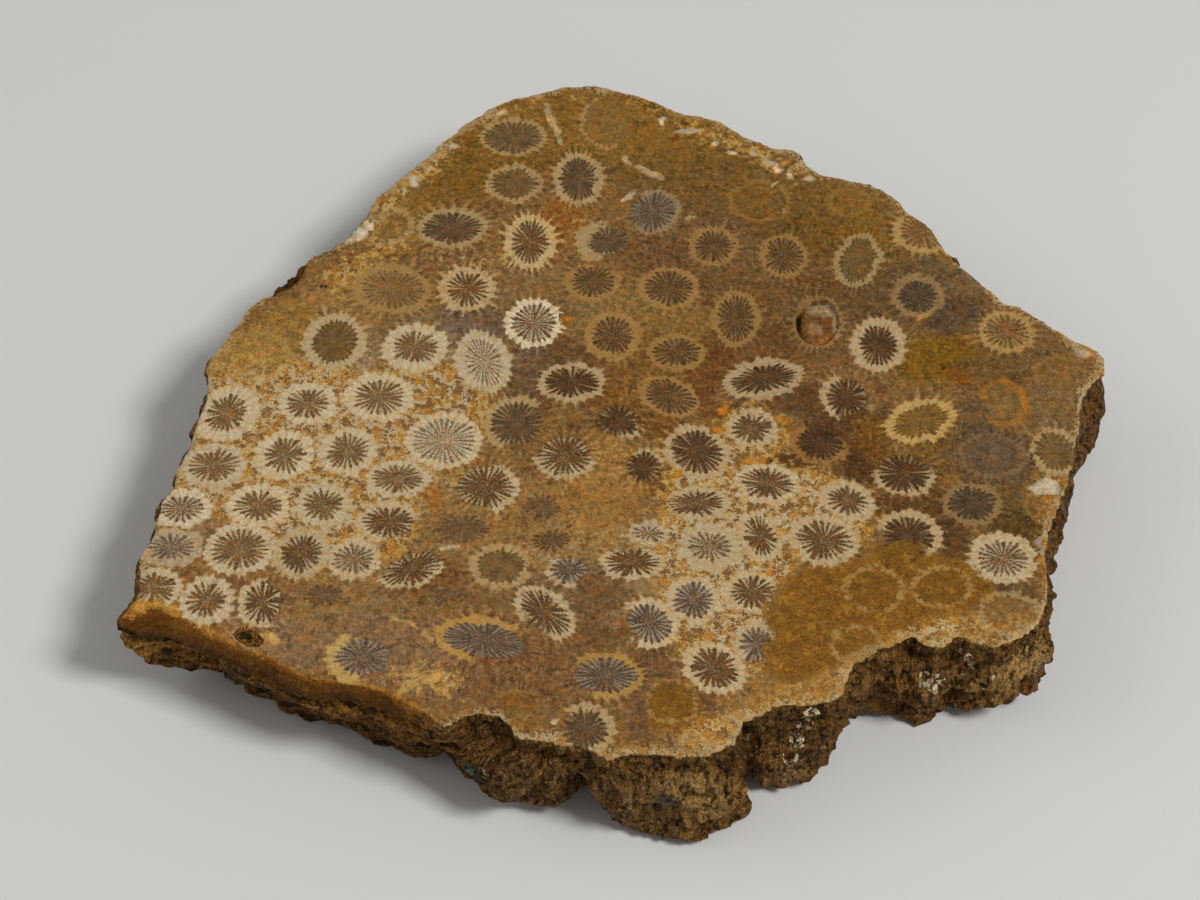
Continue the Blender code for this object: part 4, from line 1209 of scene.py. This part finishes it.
def face_colour(bench, where):
    """Colour and roughness of the polished face."""
    granular, glaze, _ = bench.three("ground habit")
    _, margin, fringe = bench.three("polish")
    rolled, _, streaked = bench.three("edge")
    place = bench.attribute("cup place")
    seed = bench.parts(place)[2]
    length, width, wall = bench.three("cup size")
    wall_on, cup_on, septa_on = bench.three("cup strength")
    fill, spread, count = bench.three("cup habit")
    open_x, open_y, open_reach = bench.three("cup opening")

    # grain of the stone, from coarse to fine, each swinging either side of 0
    flat = {"noise_dimensions": "2D"}
    medium = bench.swing(where, 0.8, 3.0, 0.55, **flat)
    mid = bench.swing(where, 1.5, 3.0, 0.62, **flat)
    fine = bench.swing(where, 2.8, 2.0, 0.65, **flat)
    speck = bench.swing(where, 5.2, 1.0, 0.65, **flat)
    drift, shift = bench.sway(where, 0.5, **flat)
    tremble, shake = bench.sway(where, 2.2, **flat)
    hue = bench.nudge((-2.0, -2.0, -2.0), drift, (2.4, 2.4, 2.4))
    hue = bench.nudge(hue, tremble, (1.6, 1.6, 1.6))
    rusty, dusky, pale = bench.parts(hue)

    # place in the cup, with its outline made uneven
    moved = bench.nudge(place, shift, (1.2, 1.2, 0.0))
    x, y, _ = bench.parts(bench.nudge(moved, shake, (0.2, 0.2, 0.0)))
    size = bench.join(length, width, 1.0)
    across = bench.vector("DIVIDE", bench.join(x, y), size)
    ratio = bench.vector("LENGTH", across, out=1).most(0.02)
    distance = bench.vector("LENGTH", bench.join(x, y), out=1)
    out = distance - distance / ratio
    unit_x, unit_y, _ = bench.parts(bench.vector("DIVIDE", place, size))
    angle = bench.sum("ARCTAN2", unit_y, unit_x)

    # septa: count of them round the cup, each a blade that narrows inwards to its own end,
    # with a dark gap between them that bites into the wall
    turns = (angle / (2 * math.pi) + 0.5) * count + mid * 0.12 + fine * 0.1
    index = turns.sum_with("FLOOR")
    own = bench.flow("ShaderNodeTexWhiteNoise", {0: bench.join(index, seed, 3.0)}, out=1)
    bitten, light, splay = bench.parts(own)
    off = abs(turns - index - 0.5 + (splay - 0.5) * 0.4) * 2
    odd = (index * 0.5).sum_with("FRACT") * 2
    septate = septa_on.step(0.0, 0.4)
    bite = out - off.step(0.25, 0.8) * (0.12 + bitten * 0.5) * septate + 0.08
    ends = 0.56 + light * 0.34 + odd * 0.08 - (splay - 0.72).most(0.0) * 2.0 - fill * 0.6
    blade = ((ratio - ends) * 1.6).least(0.5) + 0.12 - off + fine * 0.2 + speck * 0.1
    blade = blade.step(-0.1, 0.2) * (0.55 + splay * 0.45) * septa_on
    blade = blade * (0.5 + ratio * 0.5).least(1.0)
    outside = out - wall
    costa_reach = (0.25 + light * 1.0) * spread + 0.02
    costae = (0.46 - outside / costa_reach * 0.46 - off + fine * 0.14).step(0.0, 0.16)
    costae = costae * outside.step(-0.3, -0.1) * margin.step(0.05, 0.5)
    costae = costae * spread.step(0.0, 0.3)

    # the wall, whole or open, ragged outside and scored by its costae
    bearing = (x * open_x + y * open_y) / distance.most(0.05)
    stands = (bearing + medium * 0.2 - open_reach).step(-0.16, 0.12)
    ragged = outside + mid * 0.25 + fine * 0.14 + off * 0.3
    rim = bite.step(-0.05, 0.08) * ragged.step(0.3, 0.0)
    wall_mask = rim.most(costae) * wall_on * stands
    wall_mask = wall_mask * (0.97 + medium * 0.3 + mid * 0.2).least(1.0)

    # plain ground: rust, dusk and pale patches, spots, and faint costae reaching into it
    net_place = bench.nudge(where, shift, (1.4, 1.4, 1.4))
    net_place = bench.nudge(net_place, shake, (1.1, 1.1, 1.1))
    spot, kind, tint = bench.grains(net_place, 1.1, voronoi_dimensions="2D")
    base = bench.attribute("ground colour")
    rust = bench.times(base, (1.5, 1.0, 0.5))
    dusk = bench.times(base, (0.42, 0.38, 0.42))
    paler = bench.times(base, (1.65, 1.68, 1.95))
    band = outside.step(2.8, 0.3) * outside.step(-0.2, 0.1) * margin.step(0.1, 0.7)
    band = band * (wall_on * 0.5 + spread * 0.5)
    ground = bench.layers(
        base,
        (rust, rusty.step(-0.2, 0.6) * 0.6),
        (dusk, (dusky * 0.8 + tint * 0.3 - spot * 0.3).step(0.0, 0.6) * 0.6),
        (paler, (pale * 0.8 + mid * 0.35 + fine * 0.3).step(0.15, 0.9) * 0.5),
        (paler, band * off.step(0.55, 0.15) * (light + fine * 0.6).step(0.2, 0.7)),
        (dusk, band * off.step(0.5, 0.9) * 0.45),
    )
    tone = 0.98 + medium * 0.2 + mid * 0.3 + fine * 0.17 + speck * 0.12
    ground = bench.shade(ground, tone.most(0.2))

    # granular ground: rounded brown and orange grains in a pale net
    orange = (tint + rusty * 0.3).step(0.25, 0.75)
    grain = bench.mix((0.21, 0.096, 0.026), (0.48, 0.21, 0.028), orange)
    grain = bench.shade(grain, (1.05 - spot * 0.3 + fine * 0.4 + speck * 0.4).most(0.2))
    golden_net = (pale + fine * 0.4).step(-0.2, 0.5) * 0.7
    golden_net = golden_net.most(granular.step(1.05, 0.6) * 0.85)
    net = bench.mix((0.57, 0.46, 0.27), (0.56, 0.33, 0.075), golden_net)
    net = bench.mix(net, (0.3, 0.15, 0.04), (mid * 0.7 + speck * 0.3).step(-0.2, -0.6) * 0.7)
    net = bench.shade(net, (0.97 + fine * 0.25 + speck * 0.25).most(0.3))
    grains = (0.31 + kind * 0.34 - spot + fine * 0.1 + mid * 0.06).step(-0.02, 0.07)
    net = bench.mix(net, grain, grains * 0.95)
    sand = (granular + medium * 0.35).step(0.3, 0.7)

    # the rim's pale fringe, the rolled edge, and the real polish scratches drawn as fine pale streaks of
    # painted sheen
    edge = (fringe + fine * 0.45 + mid * 0.4 + speck * 0.2).step(0.45, 0.9)
    trim = bench.mix((0.54, 0.4, 0.2), (0.44, 0.22, 0.05), rusty.step(-0.2, 0.4))
    rolled_rim = (rusty * 0.5 + fine * 0.5 + speck * 0.4).step(-0.1, 0.8)
    rolled_rim = bench.mix((0.52, 0.22, 0.022), (0.26, 0.1, 0.014), rolled_rim)
    wear = (rolled * 1.2 + mid * 0.3 + fine * 0.25).step(0.15, 0.7)
    scratch = bench.times(where, (2.6, 0.5, 1.0))
    scratch_sheen = bench.swing(scratch, 1.4, 2.0, 0.6, **flat).step(0.3, 0.75) * streaked
    ground = bench.layers(
        ground,
        (net, sand),
        (trim, edge * 0.85),
        (rolled_rim, wear * 0.95),
        ((0.36, 0.25, 0.15), scratch_sheen * 0.35),
    )

    # cup, septa and wall
    loose = 1 - septa_on.step(0.0, 0.1)
    inside = (bite + loose * (fine * 0.35 + speck * 0.15)).step(0.08, -0.05) * cup_on
    cup = bench.attribute("cup colour")
    cup = bench.layers(
        cup,
        (bench.times(cup, (1.7, 1.15, 0.6)), rusty.step(0.1, 0.6) * 0.6),
        ((0.11, 0.085, 0.06), dusky.step(0.2, 0.8) * septa_on * 0.45),
    )
    tone = 1.1 - ratio * 0.3 + fine * 0.3 + medium * 0.3 + speck * 0.15
    cup = bench.shade(cup, tone.most(0.2))
    septa = bench.attribute("septa colour")
    septa = bench.shade(septa, (1.0 + speck * 0.3 + mid * 0.25).most(0.3))
    heart = ratio.step(0.5, 0.1) * 0.35
    flecks = (speck * 0.55 + fine * 0.6 + fill * 0.4 + heart).step(0.4, 0.75)
    flecks = flecks * inside * (1.2 - off) * (0.3 + fill * 0.5) * septa_on
    walls = bench.attribute("wall colour")
    golden = bench.times(walls, (0.94, 0.72, 0.42))
    skirt = outside.step(-0.5, 0.25) * 0.5
    score = (off - 0.6 + fine * 0.3).step(0.0, 0.4) * septa_on.step(0.2, 0.7)
    walls = bench.layers(
        walls,
        (golden, (pale * 0.6 + mid * 0.6 + skirt).step(0.05, 0.6) * 0.65),
        ((0.36, 0.21, 0.075), score * 0.45),
    )
    walls = bench.shade(walls, (1.16 + fine * 0.25 + speck * 0.25 + mid * 0.1).most(0.3))

    # ochre stone lying over it all
    glazed = (glaze + medium * 0.2 + mid * 0.16 + fine * 0.12).step(0.44, 0.58)
    ochre = bench.layers(
        OCHRE,
        ((0.42, 0.182, 0.02), (pale * 0.9 + medium * 0.5).step(0.0, 0.7) * 0.85),
        ((0.2, 0.088, 0.012), (rusty * 0.7 + medium * 0.5).step(-0.1, 0.5) * 0.7),
        ((0.1, 0.045, 0.012), (dusky * 0.9 + mid * 0.6).step(0.1, 0.8) * 0.75),
    )
    tone = 1.0 + medium * 0.2 + mid * 0.3 + fine * 0.3 + speck * 0.25
    ochre = bench.shade(ochre, tone.most(0.25))
    ghosts = (rim * stands + costae) * wall_on * (1 - wall_on) * 4.0
    ghosts = ghosts * (0.6 + medium * 0.6 + mid * 0.6).most(0.05)
    ochre = bench.layers(
        ochre,
        ((0.15, 0.08, 0.018), inside * (0.4 + mid * 0.5).most(0.0)),
        ((0.43, 0.25, 0.075), ghosts.least(0.9)),
    )

    colour = bench.layers(
        ground,
        (cup, inside),
        (septa, blade * inside),
        (septa, flecks),
        (walls, wall_mask),
        (ochre, glazed * 0.92),
    )
    rough = 0.42 + speck * 0.06 - inside * 0.06 + sand * 0.05
    return colour, rough


def broken_colour(bench, where):
    """Colour, with painted light and shade over its relief, roughness and height of the broken sides and
    underside.
    """
    crystal = bench.three("ground habit")[2]
    rolled, layered, _ = bench.three("edge")
    base = bench.attribute("ground colour")
    mid = bench.swing(where, 1.3, 3.0, 0.62)
    fine = bench.swing(where, 3.2, 2.0, 0.65)
    _, shake = bench.sway(where, 2.2)
    grow = bench.mix((0.9, 0.9, 0.25), (0.3, 0.3, 1.5), layered.least(1.0))
    bands = bench.swing(bench.times(where, grow), 0.9, 3.0, 0.6)
    rough_place = bench.nudge(where, shake, (0.9, 0.9, 0.9))
    drawn = bench.times(rough_place, (1.3, 1.3, 0.7))
    grain, pick, tint = bench.grains(drawn, 1.2)
    crumb, glint, _ = bench.grains(rough_place, 3.0)
    # lighter where the bump rises and darker where it sinks: partly painted light and shade, partly the
    # rock's own mottling
    tone = 1.6 - grain * 0.9 - crumb * 0.6 + fine * 0.35 + mid * 0.25 + bands * 0.6
    # painted light: golden patches where the grains and bands are raised
    painted_light = (tint - grain * 0.8 + fine * 0.4 + bands * 0.4).step(0.2, 0.7)
    # painted highlights: pale cream on the raised grains
    painted_glint = fine * 0.5 + pick * 0.8 + glint * 0.5 - crumb * 0.8 + bands * 0.2
    # painted shade: near black in the crevices between the grains and the layers
    crevice_shade = grain * 0.9 + crumb * 0.2 - mid * 0.25 - bands * (0.4 + layered * 0.4)
    facet, sparkle, gleam = bench.grains(rough_place, 1.15, distance="CHEBYCHEV")
    gems = (crystal + sparkle * 0.55 - 0.75 + mid * 0.2).step(0.0, 0.08)
    gems = gems * (0.4 - facet + fine * 0.1).step(0.0, 0.06)
    gem = bench.shade((0.92, 0.76, 0.47), (0.5 + gleam * 0.8 + fine * 0.3).most(0.1))
    depth = FACE_HEIGHT - bench.parts(where)[2]
    # the rolled rim: rust orange at the top and dark orange lower, then painted shade takes it to near black
    # below
    below = depth + mid * 0.7 + fine * 0.45
    rolled_rim = bench.mix((0.52, 0.205, 0.018), (0.18, 0.066, 0.008), below.step(0.0, 1.0))
    rolled_rim = bench.mix(rolled_rim, (0.06, 0.022, 0.004), below.step(0.8, 2.0))
    rolled_rim = bench.shade(rolled_rim, (1 + mid * 0.3 + fine * 0.45 - crumb * 0.4 + glint * 0.3).most(0.2))
    colour = bench.layers(
        bench.shade(base, (tone + pick * 0.5).most(0.04)),
        (bench.times(base, (1.8, 1.6, 1.2)), painted_light * 0.6),
        ((0.52, 0.34, 0.13), painted_glint.step(0.6, 0.85) * 0.5),
        (BLACK, crevice_shade.step(0.62, 0.85) * 0.75),
        (gem, gems),
        (rolled_rim, (rolled + fine * 0.2 + mid * 0.2).step(0.2, 0.8) * 0.9),
    )
    height = pick * 0.35 - grain * 0.4 - crumb * 0.25 + glint * 0.1 + fine * 0.1
    height = (height + bands * 0.35) * (1 - rolled * 0.7)
    return colour, 0.56 + fine * 0.1 - gems * 0.2, height


def stone_finish():
    """Polished fossil coral on top, broken rock round and below."""
    material = bpy.data.materials.new("Fossil coral")
    bench = Bench(material)
    place = bench.flow("ShaderNodeTexCoord", out="Object")
    where = bench.times(place, (1000.0, 1000.0, 1000.0))
    polish = bench.three("polish")[0]
    polished = (polish + bench.swing(where, 2.8, 1.0) * 0.18).step(0.35, 0.6)
    face, rough_face = face_colour(bench, where)
    rock, rough_rock, height = broken_colour(bench, where)
    pits = bench.swing(where, 4.4, 1.0).step(-0.4, -0.9) * -0.05
    shaders = []
    for colour, rough, rise, (strength, distance), gloss in (
        (rock, rough_rock, height, ROCK_BUMP, ROCK_GLOSS),
        (face, rough_face, pits, FACE_BUMP, FACE_GLOSS),
    ):
        bump = {"Strength": strength, "Distance": distance, "Height": rise}
        values = {"Base Color": colour, "Roughness": rough, "Specular IOR Level": gloss}
        values["Normal"] = bench.flow("ShaderNodeBump", bump)
        shaders.append(bench.flow("ShaderNodeBsdfPrincipled", values))
    surface = bench.flow("ShaderNodeMixShader", {0: polished, 1: shaders[0], 2: shaders[1]})
    bench.node("ShaderNodeOutputMaterial", {"Surface": surface})
    return material


# ---------------------------------------------------------------- the operators


class CoralSlabSettings(bpy.types.PropertyGroup):
    skin_size: bpy.props.FloatProperty(
        name="Skin size",
        description="Width of a face in the stone's skin, in millimetres",
        default=0.8,
        min=0.4,
        max=3.0,
    )
    relief: bpy.props.FloatProperty(
        name="Relief",
        description="How deep the broken sides are",
        default=1.0,
        min=0.0,
        max=3.0,
        subtype="FACTOR",
    )
    underside_share: bpy.props.FloatProperty(
        name="Underside share",
        description="Share of its faces that the skin keeps once the underside is thinned",
        default=0.86,
        min=0.2,
        max=1.0,
        subtype="FACTOR",
    )


class StageSettings(bpy.types.PropertyGroup):
    floor_colour: bpy.props.FloatVectorProperty(
        name="Floor",
        description="Colour of the floor",
        default=(0.72, 0.715, 0.70),
        size=3,
        min=0.0,
        max=1.0,
        subtype="COLOR",
    )
    distance: bpy.props.FloatProperty(
        name="Camera distance",
        description="From the camera to the middle of the picture",
        default=0.45,
        unit="LENGTH",
    )
    elevation: bpy.props.FloatProperty(
        name="Camera elevation",
        description="How far the camera looks down",
        default=math.radians(50.0),
        subtype="ANGLE",
    )
    focal_length: bpy.props.FloatProperty(
        name="Focal length",
        description="Of the camera's lens, on a sensor 36 mm wide",
        default=95.4,
        unit="CAMERA",
    )


class CORAL_OT_stone(bpy.types.Operator):
    """Grow the stone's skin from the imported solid, chart its corallites and finish it"""

    bl_idname = "coral_slab.stone"
    bl_label = "Stone"

    def execute(self, context):
        settings = context.scene.coral_slab
        stone = copy_of_solid()
        even_skin(stone, settings.skin_size)
        divide_sides(stone)
        bake_map(stone)
        break_rock(stone, settings.relief)
        thin_underside(stone, settings.underside_share)
        keep_in_box(stone)
        sink_cup(stone)
        rolled, fringe = roll_edge(stone)
        select_only(stone)
        bpy.ops.object.shade_smooth_by_angle(angle=SMOOTH_ANGLE)
        stone.vertex_groups.clear()
        margin = chart_corallites(stone)
        paint_ground(stone, margin, rolled, fringe)
        stone.data.materials.clear()
        stone.data.materials.append(stone_finish())
        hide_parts(NODE)
        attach(stone, "root")
        print("stone:", sum(len(p.vertices) - 2 for p in stone.data.polygons), "triangles")
        return {"FINISHED"}


class CORAL_OT_stage(bpy.types.Operator):
    """Set the floor, the soft lights and the camera"""

    bl_idname = "coral_slab.stage"
    bl_label = "Stage"

    def execute(self, context):
        settings = context.scene.coral_stage
        bpy.ops.object.select_all(action="DESELECT")
        bpy.ops.mesh.primitive_plane_add(size=6.0, location=(0, 0, 0))
        floor = context.object
        floor.name = "floor"
        floor.data.materials.append(floor_finish(tuple(settings.floor_colour)))
        for light in LIGHTS:
            soft_light(*light)
        sky = bpy.data.worlds.new("Studio")
        sky.use_nodes = True
        colour, strength = sky.node_tree.nodes["Background"].inputs[:2]
        colour.default_value, strength.default_value = (*SKY_COLOUR, 1.0), SKY_STRENGTH
        context.scene.world = sky
        context.scene.view_settings.view_transform = "Standard"
        aim = Vector([c * MM for c in (*chart(*PICTURE_MIDDLE), FACE_HEIGHT)])
        away = Vector((0, -math.cos(settings.elevation), math.sin(settings.elevation)))
        place = aim + away * settings.distance
        bpy.ops.object.camera_add(location=place, rotation=(math.pi / 2 - settings.elevation, 0, 0))
        camera = context.object
        camera.data.lens = settings.focal_length
        camera.data.sensor_width = SENSOR_WIDTH
        camera.data.clip_start = 0.01
        context.scene.camera = camera
        return {"FINISHED"}


def floor_finish(colour):
    material = bpy.data.materials.new("Studio floor")
    bench = Bench(material)
    shader = bench.flow("ShaderNodeBsdfPrincipled", {"Base Color": colour, "Roughness": 0.8})
    bench.node("ShaderNodeOutputMaterial", {"Surface": shader})
    return material


def soft_light(name, place, size, power):
    """A square area light that faces the slab."""
    bpy.ops.object.light_add(type="AREA", location=place)
    light = bpy.context.object
    light.name = name
    light.data.size = size
    light.data.energy = power
    light.rotation_euler = (-Vector(place)).to_track_quat("-Z", "Y").to_euler()


class CORAL_PT_panel(bpy.types.Panel):
    bl_label = "Coral Slab"
    bl_idname = "CORAL_PT_panel"
    bl_space_type = "VIEW_3D"
    bl_region_type = "UI"
    bl_category = "Coral Slab"

    def draw(self, context):
        column = self.layout.column()
        for group in (context.scene.coral_slab, context.scene.coral_stage):
            for name in group.bl_rna.properties.keys():
                if name not in ("rna_type", "name"):
                    column.prop(group, name)
        for operator in (CORAL_OT_stone, CORAL_OT_stage):
            column.operator(operator.bl_idname)


CLASSES = (CoralSlabSettings, StageSettings, CORAL_OT_stone, CORAL_OT_stage, CORAL_PT_panel)


def register():
    for each in CLASSES:
        bpy.utils.register_class(each)
    bpy.types.Scene.coral_slab = bpy.props.PointerProperty(type=CoralSlabSettings)
    bpy.types.Scene.coral_stage = bpy.props.PointerProperty(type=StageSettings)


def unregister():
    del bpy.types.Scene.coral_stage
    del bpy.types.Scene.coral_slab
    for each in reversed(CLASSES):
        bpy.utils.unregister_class(each)


def main():
    register()
    bpy.ops.coral_slab.stone()
    bpy.ops.coral_slab.stage()


if __name__ == "__main__":
    main()
